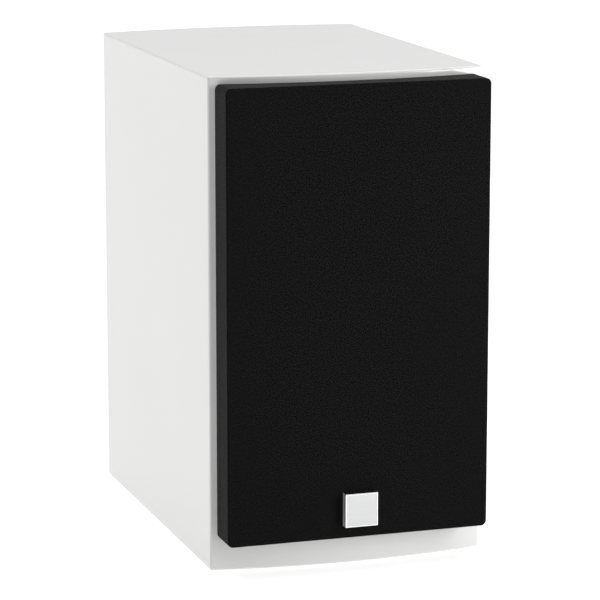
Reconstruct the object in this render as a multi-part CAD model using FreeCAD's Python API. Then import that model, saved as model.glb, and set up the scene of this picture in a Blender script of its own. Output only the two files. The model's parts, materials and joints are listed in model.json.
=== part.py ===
import FreeCAD, Part
import math
import os

from FreeCAD import Vector

# A two-way bookshelf loudspeaker in millimetres. +Z is up and the front faces -Y. The origin is on the
# surface that the feet stand on, under the middle of the bounding box. Each function below makes one
# piece or one set of identical pieces, and the table at the end names the file of each.

# ---------------------------------------------------------------- driving dimensions: cabinet
FOOT_HEIGHT = 2.0
CABINET_WIDTH = 201.0
CABINET_HEIGHT = 348.0
SIDE_DEPTH = 284.0  # from the front edge to the rear edge, measured along a side panel
BULGE = 10.0  # how far the bowed front and rear stand out beyond those edges
BOARD = 15.0  # thickness of the side, top and bottom panels
BAFFLE_EDGE = 15.0  # baffle thickness at its edges; BULGE more in the middle
REAR_EDGE = 10.0  # rear panel thickness at its edges; BULGE more in the middle
FRONT_ROUND = 1.8
REAR_ROUND = 4.0

# ---------------------------------------------------------------- driving dimensions: grille
GRILLE_WIDTH = 191.5
GRILLE_HEIGHT = 319.5
GRILLE_LIFT = 23.2  # above the cabinet's underside
GRILLE_RISE = 17.5  # the cloth's flat front, ahead of the baffle's crown
GRILLE_CORNER = 4.0
GRILLE_EDGE_ROUND = 1.0
CLOTH = 0.8
BADGE_SIZE = 24.0
BADGE_PROUD = 6.0
BADGE_LIFT = 9.0  # above the grille's lower edge
GAP = 0.3  # clearance between pieces that move past each other

# ---------------------------------------------------------------- driving dimensions: drive units
WOOFER_LIFT = 118.0  # centre above the cabinet's underside
WOOFER_RADIUS = 82.5
WOOFER_FLANGE = 5.0
WOOFER_CUTOUT = 73.0
WOOFER_SCREW_CIRCLE = 77.5
WOOFER_SCREWS = 6
TWEETER_LIFT = 260.0
TWEETER_RADIUS = 52.0
TWEETER_FLANGE = 4.0
TWEETER_CUTOUT = 38.0
TWEETER_SCREW_CIRCLE = 45.0
TWEETER_SCREWS = 4
GASKET = 1.0

# ---------------------------------------------------------------- driving dimensions: rear
PORT_LIFT = 258.0
PORT_BORE = 24.0
PORT_WALL = 2.5
PORT_FLARE = 14.0
PORT_FLANGE = 46.0
PORT_LENGTH = 105.0
TERMINAL_LIFT = 90.0
CUP_WIDTH = 90.0
CUP_HEIGHT = 64.0
CUP_FLANGE = 10.0
CUP_DEPTH = 16.0
CUP_WALL = 3.0
POST_PROUD = 8.0  # the posts stand this far out beyond the rear panel's crown
POST_OFFSET = 20.0
POST_RADIUS = 3.5
SOCKET_RADIUS = 2.0
SOCKET_DEPTH = 18.0
KNOB_RADIUS = 8.2

# ---------------------------------------------------------------- places worked out from them
TOTAL_DEPTH = BADGE_PROUD + GRILLE_RISE + BULGE + SIDE_DEPTH + BULGE + POST_PROUD
CLOTH_FRONT = -TOTAL_DEPTH / 2 + BADGE_PROUD
FRONT_CROWN = CLOTH_FRONT + GRILLE_RISE
FRONT_EDGE = FRONT_CROWN + BULGE
REAR_CORNER = FRONT_EDGE + SIDE_DEPTH
REAR_CROWN = REAR_CORNER + BULGE
BAFFLE_BACK = FRONT_EDGE + BAFFLE_EDGE
REAR_FACE = REAR_CORNER - REAR_EDGE  # the rear panel's inner face
BOW_RADIUS = ((CABINET_WIDTH / 2) ** 2 + BULGE**2) / (2 * BULGE)
Z_LOW = FOOT_HEIGHT
Z_HIGH = FOOT_HEIGHT + CABINET_HEIGHT
INNER_HALF = CABINET_WIDTH / 2 - BOARD
FLOOR = Z_LOW + BOARD
CEILING = Z_HIGH - BOARD
GRILLE_LOW = Z_LOW + GRILLE_LIFT
GRILLE_MIDDLE = GRILLE_LOW + GRILLE_HEIGHT / 2
FRAME_FRONT = CLOTH_FRONT + CLOTH
WOOFER_Z = Z_LOW + WOOFER_LIFT
TWEETER_Z = Z_LOW + TWEETER_LIFT
PORT_Z = Z_LOW + PORT_LIFT
TERMINAL_Z = Z_LOW + TERMINAL_LIFT


def bow(x):
    """How far the bowed front or rear lies behind its crown, at x from the middle."""
    return BOW_RADIUS - math.sqrt(BOW_RADIUS**2 - x**2)


FLUSH = 0.2  # a flat flange lies this far below the bowed surface at its outer edge
WOOFER_FACE = FRONT_CROWN + bow(WOOFER_RADIUS) + FLUSH
TWEETER_FACE = FRONT_CROWN + bow(TWEETER_RADIUS) + FLUSH
PORT_FACE = REAR_CROWN - bow(PORT_FLANGE) - FLUSH
CUP_FACE = REAR_CROWN - bow(CUP_WIDTH / 2 + CUP_FLANGE) - FLUSH
CUP_FLOOR = CUP_FACE - CUP_DEPTH


# ---------------------------------------------------------------- small tools
def outline(points):
    """A closed wire through 2-D points. A point given as (middle, end) is reached by an arc."""
    start = Vector(*points[0], 0)
    here = start
    edges = []
    for step in points[1:]:
        if isinstance(step[0], tuple):
            middle = Vector(*step[0], 0)
            end = Vector(*step[1], 0)
            edges.append(Part.Arc(here, middle, end).toShape())
        else:
            end = Vector(*step, 0)
            edges.append(Part.LineSegment(here, end).toShape())
        here = end
    if here.distanceToPoint(start) > 1e-6:
        edges.append(Part.LineSegment(here, start).toShape())
    return Part.Wire(edges)


def turned(points, face, z, x=0.0):
    """A ring or disc about a front-to-back axis; each point is (radius, distance behind face)."""
    solid = Part.Face(outline(points)).revolve(Vector(0, 0, 0), Vector(0, 1, 0), 360)
    solid.translate(Vector(x, face, z))
    return solid


def rod(radius, y0, y1, z, x=0.0):
    """A plain cylinder from y0 back to y1."""
    return Part.makeCylinder(radius, y1 - y0, Vector(x, y0, z), Vector(0, 1, 0))


def ring(inner, outer, y0, y1, z, x=0.0):
    return rod(outer, y0, y1, z, x).cut(rod(inner, y0 - 1, y1 + 1, z, x))


def block(x0, x1, y0, y1, z0, z1):
    return Part.makeBox(x1 - x0, y1 - y0, z1 - z0, Vector(x0, y0, z0))


def rounded_block(width, height, corner, y0, y1, z, x=0.0):
    """A block centred on (x, z), with its four edges along Y rounded."""
    solid = block(x - width / 2, x + width / 2, y0, y1, z - height / 2, z + height / 2)
    along = [e for e in solid.Edges if abs(e.tangentAt(e.FirstParameter).y) > 0.99]
    return solid.makeFillet(corner, along)


def joined(solids):
    """One solid made of overlapping ones."""
    whole = solids[0]
    for solid in solids[1:]:
        whole = whole.fuse(solid)
    return whole.removeSplitter()


def without(solid, cutters):
    for cutter in cutters:
        solid = solid.cut(cutter)
    return solid


def around(count, radius, z, start=0.0):
    """Places (x, z) evenly spaced on a circle; start is in degrees from +X."""
    angles = [math.radians(start + 360.0 * i / count) for i in range(count)]
    return [(radius * math.cos(a), z + radius * math.sin(a)) for a in angles]


def bowed_column(radius_change, from_front):
    """The upright cylinder that holds the bowed front (or rear) surface, grown by radius_change."""
    y = FRONT_CROWN + BOW_RADIUS if from_front else REAR_CROWN - BOW_RADIUS
    foot = Vector(0, y, Z_LOW - 10)
    return Part.makeCylinder(BOW_RADIUS + radius_change, CABINET_HEIGHT + 20, foot)


def hexagon(across_flats, y0, y1, z, x=0.0):
    """A hexagonal bar from y0 back to y1."""
    radius = across_flats / math.sqrt(3)
    corners = [
        Vector(x + radius * math.cos(math.pi * i / 3), y0, z + radius * math.sin(math.pi * i / 3))
        for i in range(7)
    ]
    return Part.Face(Part.makePolygon(corners)).extrude(Vector(0, y1 - y0, 0))


def cable(route, diameter):
    """A round cable along straight runs, with a tangent arc at each corner of the route."""
    points = [Vector(*p) for p in route]
    edges = []
    here = points[0]
    radii = []
    for before, corner, after in zip(points, points[1:], points[2:]):
        back = before.sub(corner)
        ahead = after.sub(corner)
        half_turn = (math.pi - back.getAngle(ahead)) / 2
        trim = 0.45 * min(back.Length, ahead.Length)
        radius = trim / math.tan(half_turn)
        radii.append(radius)
        back.normalize()
        ahead.normalize()
        arc_start = corner.add(back * trim)
        arc_end = corner.add(ahead * trim)
        inward = (back + ahead).normalize()
        middle = corner.add(inward * (radius / math.cos(half_turn) - radius))
        edges.append(Part.LineSegment(here, arc_start).toShape())
        edges.append(Part.Arc(arc_start, middle, arc_end).toShape())
        here = arc_end
    edges.append(Part.LineSegment(here, points[-1]).toShape())
    path = Part.Wire(edges)
    start_direction = points[1].sub(points[0])
    section = Part.Wire([Part.makeCircle(diameter / 2, points[0], start_direction)])
    solid = path.makePipeShell([section], True, True)
    expected = math.pi * diameter**2 / 4 * path.Length
    print("cable length %.1f radii %s volume ratio %.4f"
          % (path.Length, [round(r, 1) for r in radii], solid.Volume / expected))
    return solid


# ---------------------------------------------------------------- cabinet
def cabinet_envelope():
    """The whole outer shape: flat sides, top and bottom, bowed front and rear, rounded edges."""
    half = CABINET_WIDTH / 2
    plan = outline([
        (-half, FRONT_EDGE),
        ((0, FRONT_CROWN), (half, FRONT_EDGE)),
        (half, REAR_CORNER),
        ((0, REAR_CROWN), (-half, REAR_CORNER)),
    ])
    plan.translate(Vector(0, 0, Z_LOW))
    body = Part.Face(plan).extrude(Vector(0, 0, CABINET_HEIGHT))
    rounds = []
    for index, edge in enumerate(body.Edges, 1):
        y = edge.BoundBox.Center.y
        at_rear = y > REAR_FACE
        radius = REAR_ROUND if at_rear else FRONT_ROUND
        rounds.append((index, radius, radius))
    document = FreeCAD.newDocument("rounding")
    source = document.addObject("Part::Feature", "source")
    source.Shape = body
    fillet = document.addObject("Part::Fillet", "fillet")
    fillet.Base = source
    fillet.Edges = rounds
    document.recompute()
    rounded = fillet.Shape.copy()
    FreeCAD.closeDocument("rounding")
    return rounded


def slice_of(envelope, y0, y1):
    return envelope.common(block(-200, 200, y0, y1, -20, 400))


def mitred_panel(tube, angle):
    """One of four panels that meet at 45-degree mitres. Angle 0 is the right side, then anticlockwise."""
    reach = 400.0
    half = CABINET_WIDTH / 2
    tall = CABINET_HEIGHT / 2
    middle = Z_LOW + tall
    corners = [(half, -tall), (half, tall), (-half, tall), (-half, -tall)]
    ax, az = corners[angle]
    bx, bz = corners[(angle + 1) % 4]
    inset = BOARD * 1.5
    points = []
    for x, z in ((ax, az), (bx, bz)):
        points.append((x + math.copysign(20, x), z + math.copysign(20, z)))
        points.append((x - math.copysign(inset, x), z - math.copysign(inset, z)))
    order = [points[0], points[2], points[3], points[1], points[0]]
    wire = Part.makePolygon([Vector(x, -reach / 2, middle + z) for x, z in order])
    wedge = Part.Face(wire).extrude(Vector(0, reach, 0))
    return tube.common(wedge)


def front_baffle(envelope):
    back_chamfer = turned(
        [(0, 0), (WOOFER_CUTOUT, 0), (WOOFER_CUTOUT + 8, 8), (WOOFER_CUTOUT + 8, 10), (0, 10)],
        BAFFLE_BACK - 8, WOOFER_Z,
    )
    cutters = [
        rod(WOOFER_RADIUS + 0.5, FRONT_CROWN - 5, WOOFER_FACE + WOOFER_FLANGE + GASKET, WOOFER_Z),
        rod(WOOFER_CUTOUT, FRONT_CROWN - 5, BAFFLE_BACK + 5, WOOFER_Z),
        back_chamfer,
        rod(TWEETER_RADIUS + 0.4, FRONT_CROWN - 5, TWEETER_FACE + TWEETER_FLANGE + GASKET, TWEETER_Z),
        rod(TWEETER_CUTOUT, FRONT_CROWN - 5, BAFFLE_BACK + 5, TWEETER_Z),
    ]
    for x, z in peg_places():
        surface = FRONT_CROWN + bow(x)
        cutters.append(rod(GROMMET_RADIUS + 0.1, surface - 5, surface + GROMMET_DEPTH + 0.2, z, x))
    for x, z in woofer_screw_places():
        cutters.append(rod(WOOFER_SCREW + 0.15, FRONT_CROWN, BAFFLE_BACK - 1, z, x))
    for x, z in tweeter_screw_places():
        cutters.append(rod(TWEETER_SCREW + 0.15, FRONT_CROWN, BAFFLE_BACK - 3, z, x))
    return without(slice_of(envelope, FRONT_CROWN - 1, BAFFLE_BACK), cutters)


def rear_panel(envelope):
    cutters = [
        rod(PORT_FLANGE + 0.3, PORT_FACE - PORT_WALL, REAR_CROWN + 5, PORT_Z),
        rod(PORT_BORE + PORT_FLARE + 1, REAR_FACE - 1, REAR_CROWN + 5, PORT_Z),
        cup_block(CUP_FLANGE * 2 + 0.6, CUP_FACE - CUP_WALL - GASKET, REAR_CROWN + 5),
        cup_block(0.6, REAR_FACE - 1, REAR_CROWN + 5),
    ]
    for x, z in cup_screw_places():
        cutters.append(rod(CUP_SCREW + 0.15, REAR_FACE + 2, REAR_CROWN, z, x))
    return without(slice_of(envelope, REAR_FACE, REAR_CROWN + 1), cutters)


def window_brace():
    """A horizontal shelf between the two drive units, with four large windows."""
    thick = 12.0
    low = Z_LOW + 196.0
    rail = 14.0
    wide = INNER_HALF
    shelf = block(-wide, wide, BAFFLE_BACK, REAR_FACE, low, low + thick)
    window_x = (2 * wide - 3 * rail) / 2
    window_y = (REAR_FACE - BAFFLE_BACK - 3 * rail) / 2
    for i in range(2):
        for j in range(2):
            x = -wide + rail + i * (window_x + rail)
            y = BAFFLE_BACK + rail + j * (window_y + rail)
            window = block(x, x + window_x, y, y + window_y, low - 1, low + thick + 1)
            upright = [e for e in window.Edges if abs(e.tangentAt(e.FirstParameter).z) > 0.99]
            shelf = shelf.cut(window.makeFillet(12.0, upright))
    return shelf


def feet():
    radius = 7.0
    inset = 22.0
    made = []
    for x in (-CABINET_WIDTH / 2 + inset, CABINET_WIDTH / 2 - inset):
        for y in (FRONT_EDGE + inset, REAR_CORNER - inset):
            foot = Part.makeCylinder(radius, FOOT_HEIGHT, Vector(x, y, 0))
            lower_edge = [e for e in foot.Edges if e.BoundBox.ZMax < 0.01]
            made.append(foot.makeFillet(0.5, lower_edge))
    return made


# ---------------------------------------------------------------- damping
PAD = 18.0


def side_pads():
    low = FLOOR + 22
    high = Z_LOW + 190
    y0 = BAFFLE_BACK + 40
    y1 = REAR_FACE - 26
    return [block(s * INNER_HALF - (PAD if s > 0 else 0), s * INNER_HALF + (0 if s > 0 else PAD),
                  y0, y1, low, high) for s in (-1, 1)]


def rear_pad():
    return block(-62, 62, REAR_FACE - PAD, REAR_FACE, TERMINAL_Z + CUP_HEIGHT / 2 + 8, Z_LOW + 192)


def top_pad():
    return block(-76, 76, BAFFLE_BACK + 50, REAR_FACE - 6, CEILING - PAD, CEILING)


# ---------------------------------------------------------------- grille
PEG_X = 83.0
PEG_RADIUS = 3.2
PEG_REACH = 11.0
PEG_ROOT = 2.0
BOSS_RADIUS = 5.5
GROMMET_RADIUS = 5.5
GROMMET_DEPTH = 13.0
FRAME_WALL = 3.0
BADGE_PIN = 1.3


def peg_places():
    """Six pegs: two low, two between the drive units, two high."""
    heights = (GRILLE_LOW + 12, GRILLE_LOW + 179, GRILLE_LOW + GRILLE_HEIGHT - 12)
    return [(x, z) for z in heights for x in (-PEG_X, PEG_X)]


def peg_base(x):
    """Where a peg's shank starts: flush with the frame's back, on the side nearer the middle."""
    return FRONT_CROWN + bow(abs(x) - BOSS_RADIUS) - GAP - 0.3


def behind_grille():
    """What the grille may not enter: the bowed baffle, with clearance."""
    return bowed_column(GAP, True)


def grille_frame():
    width = GRILLE_WIDTH - 2 * CLOTH
    height = GRILLE_HEIGHT - 2 * CLOTH
    back = FRONT_EDGE + 5
    slab = rounded_block(width, height, GRILLE_CORNER - CLOTH, FRAME_FRONT, back, GRILLE_MIDDLE)
    pocket = rounded_block(width - 2 * FRAME_WALL, height - 2 * FRAME_WALL, 2.0,
                           FRAME_FRONT + FRAME_WALL, back + 5, GRILLE_MIDDLE)
    stiffeners = []
    for x, z in peg_places():
        stiffeners.append(rod(BOSS_RADIUS, FRAME_FRONT + 1, back, z, x))
        outer = math.copysign(width / 2 - 1, x)
        stiffeners.append(block(min(x, outer), max(x, outer), FRAME_FRONT + 1, back, z - 1.2, z + 1.2))
    frame = joined([slab.cut(pocket), *stiffeners])
    half_window = PEG_X - BOSS_RADIUS - 0.5
    crossbar = GRILLE_LOW + 179
    for z0, z1 in frame_windows(crossbar):
        window = rounded_block(2 * half_window, z1 - z0, 8.0, FRAME_FRONT - 5,
                               FRAME_FRONT + FRAME_WALL + 5, (z0 + z1) / 2)
        frame = frame.cut(window)
    for x, z in peg_places():
        frame = frame.cut(rod(PEG_ROOT + 0.1, FRAME_FRONT + 4, back + 1, z, x))
        frame = frame.cut(rod(PEG_RADIUS + 0.1, peg_base(x), back + 1, z, x))
    for x, z in badge_pin_places():
        frame = frame.cut(rod(BADGE_PIN + 0.2, FRAME_FRONT - 1, FRAME_FRONT + 10, z, x))
    return frame.cut(behind_grille())


def frame_windows(crossbar):
    """(low, high) of the openings in front of the woofer and in front of the tweeter."""
    badge_bar = 36.0
    top_bar = 12.0
    return [(GRILLE_LOW + badge_bar, crossbar - 9), (crossbar + 9, GRILLE_LOW + GRILLE_HEIGHT - top_bar)]


def grille_cloth():
    back = FRONT_EDGE + 5
    outer = rounded_block(GRILLE_WIDTH, GRILLE_HEIGHT, GRILLE_CORNER, CLOTH_FRONT, back, GRILLE_MIDDLE)
    rim = [e for e in outer.Edges if e.BoundBox.YMax < CLOTH_FRONT + 0.01]
    outer = outer.makeFillet(GRILLE_EDGE_ROUND, rim)
    inner = rounded_block(GRILLE_WIDTH - 2 * CLOTH, GRILLE_HEIGHT - 2 * CLOTH, GRILLE_CORNER - CLOTH,
                          FRAME_FRONT, back + 5, GRILLE_MIDDLE)
    cloth = outer.cut(inner)
    for x, z in badge_pin_places():
        cloth = cloth.cut(rod(BADGE_PIN + 0.2, CLOTH_FRONT - 1, FRAME_FRONT + 1, z, x))
    return cloth.cut(behind_grille())


def grille_pegs():
    made = []
    for x, z in peg_places():
        surface = FRONT_CROWN + bow(x)
        base = peg_base(x)
        points = [(0, 0), (PEG_RADIUS, 0), (PEG_RADIUS, surface - base + PEG_REACH - 1.5),
                  (PEG_RADIUS - 1.2, surface - base + PEG_REACH), (0, surface - base + PEG_REACH)]
        shank = turned(points, base, z, x).cut(rod(20, base - 20, base, z, x))
        root = rod(PEG_ROOT, FRAME_FRONT + 4.2, base + 0.5, z, x)
        made.append(shank.fuse(root).removeSplitter())
    return made


def grommets():
    """Rubber sockets in the baffle that grip the pegs, trimmed to the bowed surface."""
    made = []
    for x, z in peg_places():
        surface = FRONT_CROWN + bow(x)
        sleeve = ring(PEG_RADIUS + GAP, GROMMET_RADIUS, surface - 3, surface + GROMMET_DEPTH, z, x)
        made.append(sleeve.common(bowed_column(0, True)))
    return made


def badge_middle():
    return GRILLE_LOW + BADGE_LIFT + BADGE_SIZE / 2


def badge_pin_places():
    return [(-6.0, badge_middle()), (6.0, badge_middle())]


BADGE_RIM = 1.0
BADGE_INLAY = 0.6


def badge_block():
    z = badge_middle()
    front = CLOTH_FRONT - BADGE_PROUD
    body = block(-BADGE_SIZE / 2, BADGE_SIZE / 2, front, CLOTH_FRONT, z - BADGE_SIZE / 2, z + BADGE_SIZE / 2)
    edges = [e for e in body.Edges if e.BoundBox.YMin < CLOTH_FRONT - 0.01]
    body = body.makeFillet(0.45, edges)
    inlay = BADGE_SIZE - 2 * BADGE_RIM
    recess = block(-inlay / 2, inlay / 2, front - 1, front + BADGE_INLAY, z - inlay / 2, z + inlay / 2)
    body = body.cut(recess)
    pins = [rod(BADGE_PIN, CLOTH_FRONT - 1, FRAME_FRONT + FRAME_WALL + 1.5, pz, px)
            for px, pz in badge_pin_places()]
    return joined([body, *pins])


def badge_plate():
    z = badge_middle()
    front = CLOTH_FRONT - BADGE_PROUD
    side = (BADGE_SIZE - 2 * BADGE_RIM) / 2 - 0.05
    return block(-side, side, front + 0.1, front + BADGE_INLAY, z - side, z + side)


# ---------------------------------------------------------------- woofer
WOOFER_SCREW = 2.0
CONE_EDGE = 55.0
COIL_RADIUS = 16.0
GAP_OUTER = 17.9
POLE_RADIUS = 15.3
SPIDER_DEPTH = 29.0
PLATFORM = 50.0
TOP_PLATE = 54.0
MAGNET = 60.0
YOKE = 78.0


def woofer_screw_places():
    return around(WOOFER_SCREWS, WOOFER_SCREW_CIRCLE, WOOFER_Z, 90.0)


def woofer(points):
    return turned(points, WOOFER_FACE, WOOFER_Z)


def basket():
    rim = woofer([(82.5, 0.8), (81.7, 0), (72.6, 0), (72.6, 2.2), (67.5, 2.2), (67.5, 15),
                  (71.5, 15), (71.5, 5), (82.5, 5)])
    ledge = woofer([(51.5, 30), (57.5, 30), (57.5, 33), (51.5, 33)])
    platform = woofer([(20, PLATFORM), (48, PLATFORM), (48, TOP_PLATE), (20, TOP_PLATE)])
    arms = []
    half = 6.0
    for i in range(6):
        side = outline([(71.4, 11), (66.8, 11), (43, 48), (36, PLATFORM + 0.5), (36, TOP_PLATE - 0.5),
                        (50, TOP_PLATE - 0.5), (56, 46)])
        arm = Part.Face(side).extrude(Vector(0, 0, 2 * half))
        arm.translate(Vector(0, 0, -half))
        arm.rotate(Vector(0, 0, 0), Vector(0, 1, 0), 60.0 * i)
        arm.translate(Vector(0, WOOFER_FACE, WOOFER_Z))
        arms.append(arm)
    spider_seat = woofer([(0, 26), (57, 26), (57, 30), (0, 30)])
    whole = joined([rim, ledge, platform, *arms]).cut(spider_seat)
    for x, z in woofer_screw_places():
        whole = whole.cut(rod(WOOFER_SCREW + 0.3, WOOFER_FACE - 1, WOOFER_FACE + 6, z, x))
        whole = whole.cut(rod(4.0, WOOFER_FACE - 1, WOOFER_FACE + 2.8, z, x))
    return whole


def woofer_gasket():
    seal = woofer([(WOOFER_CUTOUT + 0.2, WOOFER_FLANGE), (82, WOOFER_FLANGE),
                   (82, WOOFER_FLANGE + GASKET), (WOOFER_CUTOUT + 0.2, WOOFER_FLANGE + GASKET)])
    return without(seal, [rod(WOOFER_SCREW + 0.3, WOOFER_FACE, WOOFER_FACE + 10, z, x)
                          for x, z in woofer_screw_places()])


def socket_screw(radius, head_radius, head, length, face, z, x):
    """A socket-head screw whose head starts at face and whose shank runs back from it."""
    tip = 2.0
    body = turned([(0, 0), (head_radius - 0.4, 0), (head_radius, 0.4), (head_radius, head),
                   (radius, head), (radius, head + length - tip), (0, head + length)], face, z, x)
    return body.cut(hexagon(head_radius * 0.9, face - 1, face + head * 0.65, z, x))


def woofer_screws():
    return [socket_screw(WOOFER_SCREW, 3.6, 2.5, 14.0, WOOFER_FACE + 0.3, z, x)
            for x, z in woofer_screw_places()]


def woofer_surround():
    """A rubber half roll with a flat lip on each side."""
    return woofer([
        (53.0, 1.2), (57.0, 1.2), ((62.2, -4.0), (67.4, 1.2)), (72.2, 1.2), (72.2, 2.2), (66.4, 2.2),
        (66.4, 1.2), ((62.2, -3.0), (58.0, 1.2)), (58.0, 2.2), (53.0, 2.2),
    ])


def woofer_cone():
    """A curved paper cone whose edge is glued behind the surround's inner lip."""
    return woofer([
        (56.5, 2.2), (52.5, 2.2), ((34.0, 12.4), (17.2, 24.0)), (17.2, 27.0), (16.45, 27.0),
        (16.45, 24.9), ((33.4, 13.4), (52.6, 3.2)), (56.5, 3.2),
    ])


def cone_depth(radius):
    """Depth of the cone's front surface, which is an arc through three points."""
    centre, size = circle_through((52.5, 2.2), (34.0, 12.4), (17.2, 24.0))
    return centre[1] + math.copysign(math.sqrt(size**2 - (radius - centre[0]) ** 2), 12.4 - centre[1])


def circle_through(a, b, c):
    circle = Part.Arc(Vector(*a, 0), Vector(*b, 0), Vector(*c, 0)).toShape().Curve
    return (circle.Center.x, circle.Center.y), circle.Radius


def cap_profile(radius, rise, thick, crown):
    """Half the section of a thin part-sphere that is centred on the axis."""
    sphere = (radius**2 + rise**2) / (2 * rise)
    half = radius / 2
    sag = sphere - math.sqrt(sphere**2 - half**2)
    return [(0, crown), ((half, crown + sag), (radius, crown + rise)), (radius, crown + rise + thick),
            ((half, crown + sag + thick), (0, crown + thick))]


def dust_cap():
    radius = 26.0
    rise = 7.4
    thick = 0.8
    return woofer(cap_profile(radius, rise, thick, cone_depth(radius) - 0.05 - thick - rise))


def coil_former():
    return woofer([(COIL_RADIUS, 24.0), (COIL_RADIUS + 0.4, 24.0), (COIL_RADIUS + 0.4, 64.0),
                   (COIL_RADIUS, 64.0)])


def voice_coil():
    return woofer([(COIL_RADIUS + 0.4, 50.5), (COIL_RADIUS + 1.2, 50.5), (COIL_RADIUS + 1.2, 63.5),
                   (COIL_RADIUS + 0.4, 63.5)])


def spider():
    """A corrugated disc from the coil former out to a ledge in the basket."""
    inner = COIL_RADIUS + 0.45
    outer = 51.0
    waves = 6
    pitch = (outer - 4 - inner - 3) / waves
    swing = 1.6
    thick = 0.6
    start = inner + 3
    front = [(inner, SPIDER_DEPTH), (start, SPIDER_DEPTH)]
    back = [(inner, SPIDER_DEPTH + thick), (start, SPIDER_DEPTH + thick)]
    for i in range(waves):
        lift = swing if i % 2 else -swing
        middle = start + (i + 0.5) * pitch
        end = start + (i + 1) * pitch
        front.append(((middle, SPIDER_DEPTH + lift), (end, SPIDER_DEPTH)))
        back.append(((middle, SPIDER_DEPTH + lift + thick), (end, SPIDER_DEPTH + thick)))
    front.append((56.5, SPIDER_DEPTH))
    points = front + [(56.5, SPIDER_DEPTH + 1.0), (outer, SPIDER_DEPTH + 1.0), (outer, SPIDER_DEPTH + thick)]
    for i in reversed(range(waves)):
        lift = swing if i % 2 else -swing
        middle = start + (i + 0.5) * pitch
        begin = start + i * pitch
        if i == waves - 1:
            points.append((start + waves * pitch, SPIDER_DEPTH + thick))
        points.append(((middle, SPIDER_DEPTH + lift + thick), (begin, SPIDER_DEPTH + thick)))
    points.append((inner, SPIDER_DEPTH + thick))
    return woofer(points)


def woofer_top_plate():
    return woofer([(GAP_OUTER, TOP_PLATE), (45, TOP_PLATE), (45, MAGNET), (GAP_OUTER, MAGNET)])


def woofer_magnet():
    return woofer([(23, MAGNET), (49, MAGNET), (50, MAGNET + 1), (50, YOKE - 1), (49, YOKE), (23, YOKE)])


def woofer_yoke():
    """Back plate and pole piece in one, with a vent down the middle."""
    return woofer([(5, TOP_PLATE - 0.5), (POLE_RADIUS - 1, TOP_PLATE - 0.5), (POLE_RADIUS, TOP_PLATE + 0.5),
                   (POLE_RADIUS, YOKE), (46, YOKE), (46, YOKE + 3), (44, YOKE + 7), (9, YOKE + 7),
                   (5, YOKE + 3)])



def terminal_strip():
    """An insulated strip on the basket's right arm with two solder tabs."""
    y = WOOFER_FACE + 36
    x = 62.0
    strip = block(x, x + 2.5, y - 4, y + 10, WOOFER_Z - 14, WOOFER_Z + 14)
    foot = block(56.6, x + 1, y + 1, y + 6, WOOFER_Z - 4, WOOFER_Z + 4)
    tabs = [block(x + 2.4, x + 3.2, y - 2, y + 18, WOOFER_Z + s * 9 - 2.5, WOOFER_Z + s * 9 + 2.5)
            for s in (-1, 1)]
    return joined([strip, foot, *tabs]).cut(basket())


# ---------------------------------------------------------------- tweeter
TWEETER_SCREW = 1.6
DOME_RADIUS = 14.6
DOME_DEPTH = 4.6


def tweeter_screw_places():
    return around(TWEETER_SCREWS, TWEETER_SCREW_CIRCLE, TWEETER_Z, 45.0)


def tweeter(points):
    return turned(points, TWEETER_FACE, TWEETER_Z)


def tweeter_faceplate():
    plate = tweeter([(18.6, 3.4), ((24.5, 1.1), (34.0, 0)), (51.2, 0), (52, 0.8), (52, TWEETER_FLANGE),
                     (18.6, TWEETER_FLANGE)])
    for x, z in tweeter_screw_places():
        plate = plate.cut(rod(TWEETER_SCREW + 0.2, TWEETER_FACE - 1, TWEETER_FACE + 6, z, x))
        plate = plate.cut(rod(3.5, TWEETER_FACE - 1, TWEETER_FACE + 2.2, z, x))
    return plate


def tweeter_gasket():
    seal = tweeter([(38.6, TWEETER_FLANGE), (51.4, TWEETER_FLANGE), (51.4, TWEETER_FLANGE + GASKET),
                    (38.6, TWEETER_FLANGE + GASKET)])
    return without(seal, [rod(TWEETER_SCREW + 0.2, TWEETER_FACE, TWEETER_FACE + 9, z, x)
                          for x, z in tweeter_screw_places()])


def tweeter_screws():
    return [socket_screw(TWEETER_SCREW, 3.1, 2.0, 14.0, TWEETER_FACE + 0.15, z, x)
            for x, z in tweeter_screw_places()]


def tweeter_dome():
    rise = 5.0
    return tweeter(cap_profile(DOME_RADIUS, rise, 0.35, DOME_DEPTH - rise))


def tweeter_surround():
    inner = DOME_RADIUS + 0.02
    outer = 18.0
    middle = (inner + outer) / 2
    roll = (outer - inner) / 2
    thick = 0.35
    return tweeter([
        (inner, DOME_DEPTH), ((middle, DOME_DEPTH - roll), (outer, DOME_DEPTH)), (20.3, DOME_DEPTH),
        (20.3, DOME_DEPTH + thick), (outer - thick, DOME_DEPTH + thick), (outer - thick, DOME_DEPTH),
        ((middle, DOME_DEPTH - roll + thick), (inner + thick, DOME_DEPTH)),
        (inner + thick, DOME_DEPTH + thick), (inner, DOME_DEPTH + thick),
    ])


def tweeter_carrier():
    return tweeter([(18.2, DOME_DEPTH + 0.35), (20.5, DOME_DEPTH + 0.35), (20.5, TWEETER_FLANGE),
                    (31, TWEETER_FLANGE), (31, 6.5), (18.2, 6.5)])


def tweeter_coil():
    return tweeter([(14.0, 4.95), (14.55, 4.95), (14.55, 10.8), (14.0, 10.8)])


def tweeter_top_plate():
    return tweeter([(15.2, 6.5), (32, 6.5), (32, 10.5), (15.2, 10.5)])


def tweeter_magnet():
    return tweeter([(20, 10.5), (35.3, 10.5), (36, 11.2), (36, 19.8), (35.3, 20.5), (20, 20.5)])


def tweeter_yoke():
    return tweeter([(4, 7.0), (13.3, 7.0), (13.3, 20.5), (32, 20.5), (32, 24.5), (4, 24.5)])


def tweeter_chamber():
    """A closed cup behind the motor that loads the dome through the vented pole."""
    return tweeter([(0, 50), (28, 50), (30, 48), (30, 24.5), (28, 24.5), (28, 47), (27, 48), (0, 48)])


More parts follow.
